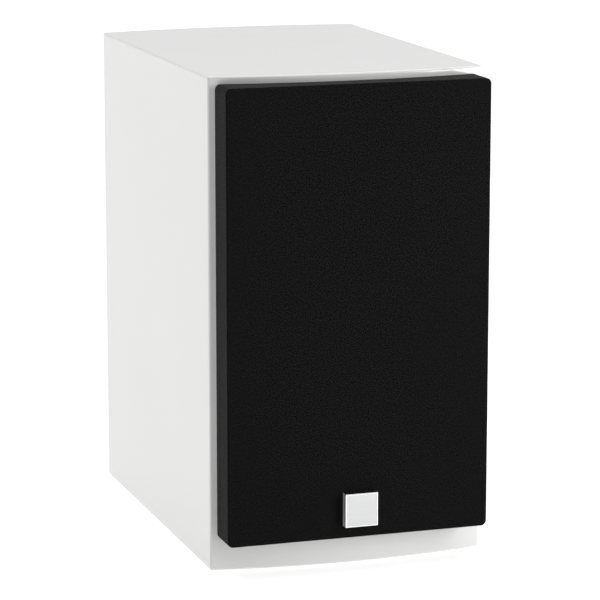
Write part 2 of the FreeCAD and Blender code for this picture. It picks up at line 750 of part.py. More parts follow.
# ---------------------------------------------------------------- reflex port
def port_tube():
    bore = PORT_BORE
    flare = PORT_FLARE
    outer = bore + PORT_WALL
    cos45 = math.cos(math.pi / 4)
    centre_r = bore + flare
    inner_mid = (centre_r - flare * cos45, -flare + flare * cos45)
    outer_mid = (centre_r - (flare - PORT_WALL) * cos45, -flare + (flare - PORT_WALL) * cos45)
    return turned([
        (centre_r, 0), (inner_mid, (bore, -flare)), (bore, -PORT_LENGTH), (outer, -PORT_LENGTH),
        (outer, -flare), (outer_mid, (centre_r, -PORT_WALL)), (PORT_FLANGE, -PORT_WALL),
        (PORT_FLANGE, -0.6), (PORT_FLANGE - 0.6, 0),
    ], PORT_FACE, PORT_Z)


def port_inner_flare():
    """A flared ring pushed over the inner end of the tube."""
    bore = PORT_BORE
    outer = bore + PORT_WALL
    end = -PORT_LENGTH
    flare = 10.0
    cos45 = math.cos(math.pi / 4)
    wall = 2.4
    centre = (bore + flare, end)
    inner_mid = (centre[0] - flare * cos45, centre[1] - flare * cos45)
    outer_mid = (centre[0] - (flare - wall) * cos45, centre[1] - (flare - wall) * cos45)
    return turned([
        (bore, end), (inner_mid, (centre[0], end - flare)), (centre[0], end - flare + wall),
        (outer_mid, (bore + wall, end)), (outer + wall + 0.1, end), (outer + wall + 0.1, end + 12),
        (outer + 0.1, end + 12), (outer + 0.1, end),
    ], PORT_FACE, PORT_Z)


# ---------------------------------------------------------------- terminals
CUP_SCREW = 1.6
CUP_CORNER = 9.0
POST_BASE = 3.0
WASHER = 1.5
POST_TAIL = 3.0


def cup_block(growth, y0, y1):
    """The cup's rounded outline, grown all round by half of growth."""
    return rounded_block(CUP_WIDTH + growth, CUP_HEIGHT + growth, CUP_CORNER + growth / 2, y0, y1,
                         TERMINAL_Z)


def cup_screw_places():
    x = CUP_WIDTH / 2 + CUP_FLANGE / 2 - 3.2
    z = CUP_HEIGHT / 2 + CUP_FLANGE / 2 - 3.2
    return [(sx * x, TERMINAL_Z + sz * z) for sx in (-1, 1) for sz in (-1, 1)]


def post_places():
    return {"positive": POST_OFFSET, "negative": -POST_OFFSET}


def terminal_cup():
    plate = cup_block(CUP_FLANGE * 2, CUP_FACE - CUP_WALL, CUP_FACE)
    front_rim = [e for e in plate.Edges if e.BoundBox.YMin > CUP_FACE - 0.01]
    plate = plate.makeFillet(1.0, front_rim)
    bowl = cup_block(0, CUP_FLOOR - CUP_WALL, CUP_FACE - 1)
    hollow = cup_block(-2 * CUP_WALL, CUP_FLOOR, CUP_FACE + 5)
    cup = joined([plate, bowl]).cut(hollow)
    for x in post_places().values():
        cup = cup.cut(rod(POST_TAIL + 0.2, CUP_FLOOR - 10, CUP_FLOOR + 1, TERMINAL_Z, x))
    for x, z in cup_screw_places():
        cup = cup.cut(rod(CUP_SCREW + 0.2, CUP_FACE - 10, CUP_FACE + 1, z, x))
    return cup


def terminal_gasket():
    y0 = CUP_FACE - CUP_WALL - GASKET
    seal = cup_block(CUP_FLANGE * 2 - 1, y0, y0 + GASKET).cut(cup_block(1.0, y0 - 1, y0 + 2))
    return without(seal, [rod(CUP_SCREW + 0.2, y0 - 1, y0 + 2, z, x) for x, z in cup_screw_places()])


def terminal_screws():
    made = []
    for x, z in cup_screw_places():
        head = 2.0
        body = turned([(0, 0), (1.6, 0), (3.0, -0.9), (3.0, -head), (CUP_SCREW, -head),
                       (CUP_SCREW, -13.0), (0, -15.0)], CUP_FACE + head, z, x)
        slots = [block(x - a, x + a, CUP_FACE + head - 1.1, CUP_FACE + head + 1, z - b, z + b)
                 for a, b in ((1.7, 0.4), (0.4, 1.7))]
        made.append(without(body, slots))
    return made


def post(x):
    """A threaded stud with a flange, a banana socket in its end and a hole across it for bare wire."""
    end = REAR_CROWN + POST_PROUD - CUP_FLOOR
    stud = turned([
        (0, -17), (POST_TAIL, -17), (POST_TAIL, 0), (8, 0), (8, POST_BASE - 0.4), (7.6, POST_BASE),
        (POST_RADIUS, POST_BASE), (POST_RADIUS, end), (SOCKET_RADIUS, end),
        (SOCKET_RADIUS, end - SOCKET_DEPTH), (0, end - SOCKET_DEPTH),
    ], CUP_FLOOR, TERMINAL_Z, x)
    across = Part.makeCylinder(1.6, 12, Vector(x, CUP_FLOOR + POST_BASE + 2.4, TERMINAL_Z - 6))
    return stud.cut(across)


def clamp_washer(x):
    y0 = CUP_FLOOR + POST_BASE + GAP
    return ring(POST_RADIUS + 0.15, 7.6, y0, y0 + WASHER, TERMINAL_Z, x)


def knob(x):
    """A fluted nut that screws along the stud and presses the washer down."""
    y0 = CUP_FLOOR + POST_BASE + GAP + WASHER + 0.2
    y1 = REAR_CROWN + POST_PROUD
    body = turned([
        (POST_RADIUS + 0.15, 0), (7.2, 0), (KNOB_RADIUS, 1.0), (KNOB_RADIUS, y1 - y0 - 1.6),
        (6.8, y1 - y0), (POST_RADIUS + 0.15, y1 - y0),
    ], y0, TERMINAL_Z, x)
    flutes = 14
    for cx, cz in around(flutes, KNOB_RADIUS + 0.35, TERMINAL_Z):
        body = body.cut(rod(0.95, y0 + 3.0, y1 + 1, cz, cx + x))
    return body


def post_nuts():
    made = []
    for x in post_places().values():
        y1 = CUP_FLOOR - CUP_WALL
        nut = hexagon(9.0, y1 - 4.5, y1, TERMINAL_Z, x)
        made.append(nut.cut(rod(POST_TAIL + 0.1, y1 - 6, y1 + 1, TERMINAL_Z, x)))
    return made


def solder_lugs():
    made = []
    for x in post_places().values():
        y1 = CUP_FLOOR - CUP_WALL - 4.5
        eye = rod(5.0, y1 - 0.8, y1, TERMINAL_Z, x)
        tongue = block(x - 2, x + 2, y1 - 0.8, y1, TERMINAL_Z - 15, TERMINAL_Z)
        hole = rod(POST_TAIL + 0.1, y1 - 2, y1 + 1, TERMINAL_Z, x)
        made.append(eye.fuse(tongue).cut(hole).removeSplitter())
    return made


# ---------------------------------------------------------------- crossover
STANDOFF = 8.0
BOARD_THICK = 1.6
BOARD_X = 58.0
BOARD_Y0 = BAFFLE_BACK + 88.0
BOARD_Y1 = BAFFLE_BACK + 196.0
BOARD_TOP = FLOOR + STANDOFF + BOARD_THICK


def board_screw_places():
    return [(x, y) for x in (-BOARD_X + 6, BOARD_X - 6) for y in (BOARD_Y0 + 6, BOARD_Y1 - 6)]


def crossover_board():
    board = block(-BOARD_X, BOARD_X, BOARD_Y0, BOARD_Y1, FLOOR + STANDOFF, BOARD_TOP)
    return without(board, [Part.makeCylinder(1.8, 20, Vector(x, y, FLOOR)) for x, y in board_screw_places()])


def board_standoffs():
    """Spacer with its screw head above the board, one at each corner."""
    made = []
    for x, y in board_screw_places():
        spacer = Part.makeCylinder(3.5, STANDOFF, Vector(x, y, FLOOR))
        shank = Part.makeCylinder(1.5, STANDOFF + BOARD_THICK, Vector(x, y, FLOOR))
        head = Part.makeCylinder(2.9, 1.8, Vector(x, y, BOARD_TOP))
        made.append(joined([spacer, shank, head]))
    return made


def upright_coil(x, y, radius, height):
    """An inductor: winding between two bobbin flanges on a hollow core."""
    flange = 1.6
    base = Vector(x, y, BOARD_TOP)
    lower = Part.makeCylinder(radius + 2, flange, base)
    upper = Part.makeCylinder(radius + 2, flange, base.add(Vector(0, 0, height - flange)))
    winding = Part.makeCylinder(radius, height - 1, base.add(Vector(0, 0, 0.5)))
    hole = Part.makeCylinder(radius * 0.38, height + 2, base.add(Vector(0, 0, -1)))
    return joined([lower, upper, winding]).cut(hole)


def inductors():
    y = BOARD_Y0 + 32
    return [upright_coil(-30, y, 20.0, 26.0), upright_coil(26, y - 4, 15.0, 18.0)]


def lying_capacitor(x, y, radius, length):
    body = Part.makeCylinder(radius, length, Vector(x, y, BOARD_TOP + radius), Vector(1, 0, 0))
    ends = [e for e in body.Edges if e.Length > 2 * radius * 3]
    return body.makeFillet(radius * 0.16, ends)


def capacitors():
    return [
        lying_capacitor(-48, BOARD_Y0 + 68, 8.0, 40.0),
        lying_capacitor(-48, BOARD_Y0 + 88, 6.5, 34.0),
        lying_capacitor(2, BOARD_Y0 + 90, 7.0, 34.0),
    ]


def resistors():
    made = []
    for y in (BOARD_Y0 + 56, BOARD_Y0 + 70):
        body = block(6, 50, y - 4.5, y + 4.5, BOARD_TOP, BOARD_TOP + 9)
        made.append(body.makeFillet(0.8, [e for e in body.Edges if e.Length > 20]))
    return made


# ---------------------------------------------------------------- wiring
WIRE = 2.4


def input_run(side):
    """From a binding post's lug down to the rear edge of the board."""
    x = side * POST_OFFSET
    lug_y = CUP_FLOOR - CUP_WALL - 5.4 - WIRE
    z = TERMINAL_Z - 12
    return [(x, lug_y, z + 3), (x, lug_y, z - 16), (x * 0.86, lug_y - 6, z - 34),
            (x * 0.6, BOARD_Y1 + 12, z - 45), (x * 0.5, BOARD_Y1 - 5, BOARD_TOP + WIRE / 2 + 0.1)]


def woofer_run(side):
    """From the front edge of the board to a tab on the woofer."""
    tab_y = WOOFER_FACE + 56
    z = WOOFER_Z + side * 9
    return [(54 + side * 2.0, BOARD_Y0 + 5, BOARD_TOP + 3), (58 + side * 2.0, BOARD_Y0 - 12, BOARD_TOP + 12),
            (61 + side * 1.6, BOARD_Y0 - 26, 58 + side * 3), (64.6, tab_y + 16, z - 24), (66.5, tab_y - 2, z)]


def tweeter_run(side):
    """Up one side, through a window of the brace and forward to the tweeter's rear chamber."""
    x = -44 + side * 2.2
    z = TWEETER_Z
    back = TWEETER_FACE + 24.5
    return [(x, BOARD_Y0 + 3, BOARD_TOP + 4), (x - 8, BOARD_Y0 - 14, BOARD_TOP + 34),
            (x - 10, BOARD_Y0 - 12, BOARD_TOP + 84), (x - 9, BOARD_Y0 - 20, BOARD_TOP + 132),
            (x - 2, BOARD_Y0 - 36, BOARD_TOP + 174), (x + 2, back + 34, z - 22),
            (-34.0, back + 12, z - 6 + side * 5), (-33.0, back - 2, z + side * 5)]


def wires(side):
    return [cable(run(side), WIRE) for run in (input_run, woofer_run, tweeter_run)]


def tinsel_leads():
    """Two flexible leads from the terminal strip to the back of the cone."""
    made = []
    for side in (-1, 1):
        z = WOOFER_Z + side * 9
        z_cone = WOOFER_Z + side * 5
        start = (61.4, WOOFER_FACE + 35.0, z)
        end = (40.0, WOOFER_FACE + cone_depth(40.0) + 1.6, z_cone)
        made.append(cable([start, (60.6, WOOFER_FACE + 26.5, z + side * 0.3),
                           (54.5, WOOFER_FACE + 19.5, z - side * 0.8),
                           (46.5, WOOFER_FACE + 16.5, z_cone + side * 1.2), end], 1.0))
    return made


# ---------------------------------------------------------------- everything, by file name
def all_pieces():
    envelope = cabinet_envelope()
    middle = slice_of(envelope, BAFFLE_BACK, REAR_FACE)
    tube = middle.cut(block(-INNER_HALF, INNER_HALF, BAFFLE_BACK - 5, REAR_FACE + 5, FLOOR, CEILING))
    pieces = {
        "right_side_panel": mitred_panel(tube, 0),
        "top_panel": mitred_panel(tube, 1),
        "left_side_panel": mitred_panel(tube, 2),
        "bottom_panel": mitred_panel(tube, 3),
        "front_baffle": front_baffle(envelope),
        "rear_panel": rear_panel(envelope),
        "window_brace": window_brace(),
        "rubber_feet": feet(),
        "damping_pads": [*side_pads(), rear_pad(), top_pad()],
        "grille_frame": grille_frame(),
        "grille_cloth": grille_cloth(),
        "grille_pegs": grille_pegs(),
        "grille_grommets": grommets(),
        "badge_block": badge_block(),
        "badge_plate": badge_plate(),
        "woofer_basket": basket(),
        "woofer_gasket": woofer_gasket(),
        "woofer_screws": woofer_screws(),
        "woofer_surround": woofer_surround(),
        "woofer_cone": woofer_cone(),
        "woofer_dust_cap": dust_cap(),
        "woofer_coil_former": coil_former(),
        "woofer_voice_coil": voice_coil(),
        "woofer_spider": spider(),
        "woofer_top_plate": woofer_top_plate(),
        "woofer_magnet": woofer_magnet(),
        "woofer_pole_yoke": woofer_yoke(),
        "woofer_terminal_strip": terminal_strip(),
        "woofer_tinsel_leads": tinsel_leads(),
        "tweeter_faceplate": tweeter_faceplate(),
        "tweeter_gasket": tweeter_gasket(),
        "tweeter_screws": tweeter_screws(),
        "tweeter_dome": tweeter_dome(),
        "tweeter_surround": tweeter_surround(),
        "tweeter_carrier_ring": tweeter_carrier(),
        "tweeter_voice_coil": tweeter_coil(),
        "tweeter_top_plate": tweeter_top_plate(),
        "tweeter_magnet": tweeter_magnet(),
        "tweeter_pole_yoke": tweeter_yoke(),
        "tweeter_rear_chamber": tweeter_chamber(),
        "port_tube": port_tube(),
        "port_inner_flare": port_inner_flare(),
        "terminal_cup": terminal_cup(),
        "terminal_gasket": terminal_gasket(),
        "terminal_screws": terminal_screws(),
        "post_nuts": post_nuts(),
        "solder_lugs": solder_lugs(),
        "crossover_board": crossover_board(),
        "board_standoffs": board_standoffs(),
        "inductors": inductors(),
        "capacitors": capacitors(),
        "resistors": resistors(),
        "red_wires": wires(1),
        "black_wires": wires(-1),
    }
    for name, x in post_places().items():
        pieces[name + "_post"] = post(x)
        pieces[name + "_washer"] = clamp_washer(x)
        pieces[name + "_knob"] = knob(x)
    return pieces


os.makedirs("parts", exist_ok=True)
for node, shape in all_pieces().items():
    solids = shape if isinstance(shape, list) else [shape]
    for solid in solids:
        if not solid.isValid() or len(solid.Solids) != 1 or solid.Volume <= 0:
            raise ValueError("%s: not one valid solid (%d)" % (node, len(solid.Solids)))
    whole = Part.makeCompound(solids) if len(solids) > 1 else solids[0]
    whole.exportStep("parts/%s.step" % node)
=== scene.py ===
import json
import math

import bmesh
import bpy
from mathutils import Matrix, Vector, noise


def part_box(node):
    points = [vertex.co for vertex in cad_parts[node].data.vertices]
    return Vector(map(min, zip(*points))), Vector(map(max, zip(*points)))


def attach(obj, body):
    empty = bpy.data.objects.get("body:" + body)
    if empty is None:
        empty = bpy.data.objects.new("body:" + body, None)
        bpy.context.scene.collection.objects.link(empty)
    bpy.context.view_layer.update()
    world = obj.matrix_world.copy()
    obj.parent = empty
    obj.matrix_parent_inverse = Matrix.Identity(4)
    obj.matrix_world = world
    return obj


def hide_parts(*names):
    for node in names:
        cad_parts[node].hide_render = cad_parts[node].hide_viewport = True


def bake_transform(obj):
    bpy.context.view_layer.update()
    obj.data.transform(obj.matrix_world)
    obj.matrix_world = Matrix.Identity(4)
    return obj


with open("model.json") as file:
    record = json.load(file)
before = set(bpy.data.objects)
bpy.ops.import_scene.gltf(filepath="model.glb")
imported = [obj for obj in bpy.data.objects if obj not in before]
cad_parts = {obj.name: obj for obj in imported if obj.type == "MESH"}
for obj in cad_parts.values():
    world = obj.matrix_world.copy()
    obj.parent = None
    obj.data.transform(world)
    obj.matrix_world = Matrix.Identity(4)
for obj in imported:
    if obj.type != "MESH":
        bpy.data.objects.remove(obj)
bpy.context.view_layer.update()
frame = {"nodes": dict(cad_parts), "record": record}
nodes = frame["nodes"]
MM = 0.001


# ---- camera, floor and light
def put_in_scene(name, data):
    """A new object in the scene that shows this data."""
    obj = bpy.data.objects.new(name, data)
    bpy.context.scene.collection.objects.link(obj)
    return obj


def point_along(obj, direction):
    """Turns a camera or a light so that it faces along direction."""
    obj.rotation_euler = Vector(direction).to_track_quat("-Z", "Y").to_euler()


def set_inputs(node, **values):
    """Sets the values of a node's sockets, with _ for each space in a socket's name."""
    for socket, value in values.items():
        node.inputs[socket.replace("_", " ")].default_value = value


def make_camera():
    """A long lens, to the left of the cabinet's front and above it, looking slightly down."""
    yaw = math.radians(18.12)
    pitch = math.radians(11.42)
    data = bpy.data.cameras.new("camera")
    data.lens = 182.6
    data.sensor_width = 36.0
    data.clip_end = 100.0
    camera = put_in_scene("camera", data)
    camera.location = (-0.6790, -2.1038, 0.6100)
    point_along(camera, (math.sin(yaw) * math.cos(pitch), math.cos(yaw) * math.cos(pitch), -math.sin(pitch)))
    bpy.context.scene.camera = camera


def softbox(name, place, target, width, height, watts):
    """A nearby rectangular light."""
    data = bpy.data.lights.new(name, "AREA")
    data.shape = "RECTANGLE"
    data.size = width
    data.size_y = height
    data.energy = watts
    light = put_in_scene(name, data)
    light.location = place
    point_along(light, Vector(target) - Vector(place))


def far_light(name, direction, spread, strength):
    """A very large, very distant soft light that shines along direction; spread is its width in degrees."""
    data = bpy.data.lights.new(name, "SUN")
    data.angle = math.radians(spread)
    data.energy = strength
    point_along(put_in_scene(name, data), direction)


def studio_surround():
    """Dim all round, and brighter towards the back of the room, for the lacquer to reflect."""
    world = bpy.data.worlds.new("studio")
    world.use_nodes = True
    tree = world.node_tree
    direction = tree.nodes.new("ShaderNodeTexCoord")
    split = tree.nodes.new("ShaderNodeSeparateXYZ")
    level = tree.nodes.new("ShaderNodeMapRange")
    tree.links.new(direction.outputs["Generated"], split.inputs["Vector"])
    tree.links.new(split.outputs["Y"], level.inputs["Value"])
    dim, bright = 0.10, 0.75
    set_inputs(level, From_Min=0.1, From_Max=0.85, To_Min=dim, To_Max=bright)
    background = tree.nodes["Background"]
    set_inputs(background, Color=(1.0, 1.0, 1.0, 1.0))
    tree.links.new(level.outputs["Result"], background.inputs["Strength"])
    bpy.context.scene.world = world


def make_lights():
    """Even light from above, a little from the left, and a softbox that grades the baffle's bow."""
    bpy.context.scene.view_settings.view_transform = "Standard"
    studio_surround()
    far_light("overhead", (0.0, -0.10, -1.0), 70.0, 2.15)
    far_light("left", (0.72, -0.34, -0.62), 45.0, 0.62)
    softbox("right", (0.86, -0.98, 0.46), (0.05, -0.1, 0.15), 0.5, 0.8, 11.5)


def make_floor():
    """A softly glowing white table, so that the object's shadows stay pale."""
    mesh = bpy.data.meshes.new("floor")
    reach = 30.0
    mesh.from_pydata([(-reach, -reach, 0), (reach, -reach, 0), (reach, reach, 0), (-reach, reach, 0)],
                     [], [(0, 1, 2, 3)])
    floor = put_in_scene("floor", mesh)
    look = Look("pale_floor", (0.35, 0.35, 0.35), 0.6, Emission_Strength=0.76)
    look.bump(look.noise(40.0, 3.0), 0.02, 0.5)
    floor.data.materials.append(look.material)


# ---- material tools
MIX_FIRST, MIX_SECOND, MIX_RESULT = 6, 7, 2  # where a Mix node keeps its colours among its sockets


class Look:
    """A Principled material with a few short ways to add detail in the object's own coordinates."""

    def __init__(self, name, colour, roughness, **sockets):
        self.material = bpy.data.materials.new(name)
        self.material.use_nodes = True
        self.tree = self.material.node_tree
        self.shader = self.tree.nodes["Principled BSDF"]
        self.place = self.node("ShaderNodeTexCoord").outputs["Object"]
        set_inputs(self.shader, Base_Color=(*colour, 1.0), Roughness=roughness, **sockets)
        self.height = None

    def node(self, kind, **settings):
        made = self.tree.nodes.new(kind)
        for key, value in settings.items():
            setattr(made, key, value)
        return made

    def join(self, source, target):
        self.tree.links.new(source, target)

    def drive(self, socket, source):
        self.join(source, self.shader.inputs[socket])

    def stretch(self, scale, turn=(0.0, 0.0, 0.0)):
        """Object coordinates, turned and then scaled."""
        mapping = self.node("ShaderNodeMapping")
        set_inputs(mapping, Scale=scale, Rotation=turn)
        self.join(self.place, mapping.inputs["Vector"])
        return mapping.outputs["Vector"]

    def noise(self, scale, detail=2.0, place=None, rough=0.5):
        made = self.node("ShaderNodeTexNoise")
        set_inputs(made, Scale=scale, Detail=detail, Roughness=rough)
        self.join(place or self.place, made.inputs["Vector"])
        return made.outputs["Fac"]

    def cells(self, scale, feature="F1"):
        made = self.node("ShaderNodeTexVoronoi", feature=feature)
        set_inputs(made, Scale=scale)
        self.join(self.place, made.inputs["Vector"])
        return made.outputs["Distance"]

    def bands(self, scale, axis, distortion=0.0):
        made = self.node("ShaderNodeTexWave", wave_type="BANDS", bands_direction=axis)
        set_inputs(made, Scale=scale, Distortion=distortion)
        self.join(self.place, made.inputs["Vector"])
        return made.outputs["Fac"]

    def math(self, kind, a, b=0.0):
        made = self.node("ShaderNodeMath", operation=kind)
        for socket, value in zip(made.inputs, (a, b)):
            if isinstance(value, bpy.types.NodeSocket):
                self.join(value, socket)
            else:
                socket.default_value = value
        return made.outputs["Value"]

    def range(self, source, low, high, start=0.0, end=1.0):
        """source, from start to end, mapped onto low to high."""
        made = self.node("ShaderNodeMapRange")
        self.join(source, made.inputs["Value"])
        set_inputs(made, From_Min=start, From_Max=end, To_Min=low, To_Max=high)
        return made.outputs["Result"]

    def mix(self, factor, first, second):
        """A colour between first and second; either may be a colour or a socket."""
        made = self.node("ShaderNodeMix", data_type="RGBA")
        self.join(factor, made.inputs["Factor"])
        for socket, value in ((made.inputs[MIX_FIRST], first), (made.inputs[MIX_SECOND], second)):
            if isinstance(value, bpy.types.NodeSocket):
                self.join(value, socket)
            else:
                socket.default_value = (*value[:3], 1.0)
        return made.outputs[MIX_RESULT]

    def paint(self, source):
        self.drive("Base Color", source)

    def vary(self, source, low, high, start=0.3, end=0.7):
        """Roughness between low and high."""
        self.drive("Roughness", self.range(source, low, high, start, end))

    def bump(self, source, strength, distance_mm):
        made = self.node("ShaderNodeBump")
        set_inputs(made, Strength=strength, Distance=distance_mm * MM)
        self.join(source, made.inputs["Height"])
        if self.height is not None:
            self.join(self.height, made.inputs["Normal"])
        self.height = made.outputs["Normal"]
        self.drive("Normal", self.height)

    def weave(self, scale, across="X", along="Z"):
        """Two sets of threads that cross."""
        return self.math("MULTIPLY", self.bands(scale, across), self.bands(scale, along))

    def axis(self, letter):
        split = self.node("ShaderNodeSeparateXYZ")
        self.join(self.place, split.inputs["Vector"])
        return split.outputs[letter]


def shade(tint, amount):
    return tuple(min(1.0, c * amount) for c in tint)


# ---- finishes
WHITE = (0.70, 0.70, 0.695)
FIBREBOARD = (0.36, 0.25, 0.15)


def lacquer():
    """Polished white lacquer outside, bare fibreboard inside the cabinet."""
    look = Look("white_lacquer", WHITE, 0.09, IOR=1.5, Coat_Weight=0.25, Coat_Roughness=0.03)
    cloudy = look.noise(9.0, 3.0)
    white = look.mix(look.range(cloudy, 0.0, 1.0, 0.35, 0.65), shade(WHITE, 0.99), WHITE)
    low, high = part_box("window_brace")
    floor_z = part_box("bottom_panel")[1].z
    roof_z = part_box("top_panel")[0].z
    skin = 0.3 * MM
    board_roughness = 0.8
    inside = None
    for letter, start, end in (("X", low.x, high.x), ("Y", low.y, high.y), ("Z", floor_z, roof_z)):
        value = look.axis(letter)
        above = look.math("GREATER_THAN", value, start - skin)
        below = look.math("LESS_THAN", value, end + skin)
        both = look.math("MULTIPLY", above, below)
        inside = both if inside is None else look.math("MULTIPLY", inside, both)
    fibres = look.noise(900.0, 4.0, rough=0.7)
    board = look.mix(fibres, shade(FIBREBOARD, 0.7), shade(FIBREBOARD, 1.25))
    look.paint(look.mix(inside, white, board))
    gloss = look.range(cloudy, 0.08, 0.11, 0.3, 0.7)
    look.drive("Roughness", look.math("MAXIMUM", gloss, look.math("MULTIPLY", inside, board_roughness)))
    look.bump(look.noise(210.0, 2.0), 0.035, 0.05)
    return look.material


def fibreboard():
    look = Look("bare_fibreboard", FIBREBOARD, 0.85)
    fibres = look.noise(900.0, 5.0, rough=0.75)
    streaks = look.noise(120.0, 3.0, look.stretch((1.0, 6.0, 1.0)))
    tone = look.math("ADD", look.math("MULTIPLY", fibres, 0.7), look.math("MULTIPLY", streaks, 0.3))
    tone = look.range(tone, 0.0, 1.0, 0.3, 0.7)
    look.paint(look.mix(tone, shade(FIBREBOARD, 0.65), shade(FIBREBOARD, 1.3)))
    look.bump(fibres, 0.5, 0.15)
    return look.material


def wadding():
    """Grey polyester felt: clumped fibres with a soft sheen."""
    tint = (0.30, 0.30, 0.31)
    look = Look("grey_wadding", tint, 0.95, Sheen_Weight=0.4, Sheen_Roughness=0.6)
    clumps = look.noise(70.0, 5.0, rough=0.7)
    hairs = look.noise(1500.0, 3.0, look.stretch((1.0, 0.25, 0.6), (0.4, 0.7, 0.2)), rough=0.8)
    tone = look.math("MULTIPLY", clumps, look.range(hairs, 0.6, 1.3, 0.3, 0.7))
    look.paint(look.mix(look.range(tone, 0.0, 1.0, 0.25, 0.75), shade(tint, 0.45), shade(tint, 1.7)))
    look.bump(clumps, 0.6, 2.0)
    look.bump(hairs, 0.7, 0.4)
    return look.material


def knitted_cloth():
    """Black warp-knit grille cloth: short slanting floats that lean one way and then the other, with a
    painted sheen: its colour turns lighter, in random flecks, where the cloth is seen at a glancing angle.
    """
    dark = (0.0, 0.0, 0.0)
    light = (0.02, 0.02, 0.0207)
    # the colour of the painted sheen, reached where the cloth is seen edge-on
    painted_sheen_colour = (0.066, 0.066, 0.0675)
    look = Look("black_grille_cloth", dark, 0.9, Sheen_Weight=0.06, Sheen_Roughness=0.3,
                Specular_IOR_Level=0.02)
    uv = look.node("ShaderNodeUVMap", uv_map="fabric_mm").outputs["UV"]
    split = look.node("ShaderNodeSeparateXYZ")
    look.join(uv, split.inputs["Vector"])
    wobble = look.noise(0.22, 2.0, uv)
    pitch = 2.1
    contrast = 0.15
    leaning = []
    for lean, drift in ((1.0, 0.9), (-1.0, -0.7)):
        slant = look.math("ADD", split.outputs["X"], look.math("MULTIPLY", split.outputs["Y"], lean))
        slant = look.math("ADD", slant, look.math("MULTIPLY", wobble, drift))
        leaning.append(look.math("SINE", look.math("MULTIPLY", slant, 2 * math.pi / pitch)))
    choice = look.range(look.noise(0.5, 1.0, uv), 0.0, 1.0, 0.42, 0.54)
    one_way = look.math("MULTIPLY", leaning[0], choice)
    other_way = look.math("MULTIPLY", leaning[1], look.math("SUBTRACT", 1.0, choice))
    floats = look.math("ADD", one_way, other_way)
    yarn = look.noise(1.1, 3.0, uv, rough=0.7)
    tone = look.math("ADD", look.math("MULTIPLY", floats, contrast), look.range(yarn, -0.5, 0.5, 0.3, 0.7))
    # Painted sheen: the yarn's lighter colour is pushed towards a brighter one at glancing views, more in
    # some random flecks than in others.
    facing = look.node("ShaderNodeLayerWeight").outputs["Facing"]
    painted_sheen_flecks = look.range(look.noise(0.7, 3.0, uv, rough=0.7), 0.3, 1.7, 0.35, 0.65)
    painted_sheen_amount = look.math("MULTIPLY", look.range(facing, 0.0, 1.0, 0.25, 0.85), painted_sheen_flecks)
    bright = look.mix(painted_sheen_amount, light, painted_sheen_colour)
    look.paint(look.mix(look.range(tone, 0.0, 1.0, -0.4, 0.75), dark, bright))
    look.bump(look.math("ADD", floats, yarn), 0.4, 0.3)
    return look.material


def rubber():
    look = Look("black_rubber", (0.018, 0.018, 0.018), 0.62, Sheen_Weight=0.08)
    grain = look.noise(1400.0, 3.0)
    dust = look.noise(60.0, 4.0)
    look.paint(look.mix(look.range(dust, 0.0, 1.0, 0.4, 0.75), (0.014, 0.014, 0.014), (0.034, 0.034, 0.033)))
    look.vary(dust, 0.5, 0.75)
    look.bump(grain, 0.25, 0.05)
    return look.material


def gasket_foam():
    look = Look("black_foam", (0.03, 0.03, 0.03), 0.95)
    pores = look.cells(1800.0)
    look.paint(look.mix(look.range(pores, 0.0, 1.0, 0.1, 0.6), (0.008, 0.008, 0.008), (0.05, 0.05, 0.05)))
    look.bump(pores, 0.9, 0.25)
    return look.material


def moulded_plastic():
    """Black plastic with the fine pitting of a spark-eroded mould."""
    look = Look("black_moulding", (0.016, 0.016, 0.017), 0.42)
    pits = look.noise(2600.0, 2.0, rough=0.6)
    flow = look.noise(25.0, 3.0)
    look.paint(look.mix(look.range(flow, 0.0, 1.0, 0.35, 0.65), (0.013, 0.013, 0.014), (0.02, 0.02, 0.021)))
    look.vary(pits, 0.34, 0.52)
    look.bump(pits, 0.35, 0.035)
    return look.material


def polished_metal():
    """The badge's rim: a chromed bezel with satin flanks left and right, and hairline wiping marks."""
    look = Look("polished_chrome", (0.93, 0.93, 0.94), 0.06, Metallic=1.0)
    bezel = 1.8 * MM
    skin = 0.3 * MM
    satin_roughness = 0.5
    low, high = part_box("badge_block")
    behind = look.math("GREATER_THAN", look.axis("Y"), low.y + bezel)
    beside = look.math("GREATER_THAN", look.math("ABSOLUTE", look.axis("X")), high.x - skin)
    flank = look.math("MULTIPLY", behind, beside)
    marks = look.noise(260.0, 3.0, look.stretch((1.0, 1.0, 14.0), (0.0, 0.5, 0.0)))
    gloss = look.range(marks, 0.05, 0.13, 0.3, 0.7)
    look.drive("Roughness", look.math("ADD", gloss, look.math("MULTIPLY", flank, satin_roughness)))
    look.bump(marks, 0.03, 0.02)
    return look.material


def satin_metal():
    """The badge's plate: aluminium brushed across its width and anodised."""
    look = Look("satin_aluminium", (0.64, 0.64, 0.645), 0.36, Metallic=0.85)
    brushed = look.noise(900.0, 3.0, look.stretch((0.03, 1.0, 2.2)))
    look.paint(look.mix(brushed, (0.58, 0.58, 0.585), (0.70, 0.70, 0.705)))
    look.vary(brushed, 0.30, 0.44)
    look.bump(brushed, 0.12, 0.03)
    return look.material


def powder_coat():
    look = Look("black_powder_coat", (0.02, 0.02, 0.021), 0.5)
    wrinkle = look.cells(1100.0, feature="SMOOTH_F1")
    look.paint(look.mix(wrinkle, (0.026, 0.026, 0.027), (0.014, 0.014, 0.015)))
    look.vary(wrinkle, 0.4, 0.6, 0.0, 0.6)
    look.bump(wrinkle, 0.4, 0.08)
    return look.material


def zinc_steel():
    look = Look("zinc_plated_steel", (0.56, 0.56, 0.54), 0.34, Metallic=1.0)
    spangle = look.cells(260.0)
    haze = look.noise(45.0, 4.0)
    look.paint(look.mix(spangle, (0.62, 0.62, 0.60), (0.46, 0.46, 0.44)))
    look.vary(haze, 0.26, 0.46)
    look.bump(look.noise(800.0, 2.0), 0.08, 0.03)
    return look.material


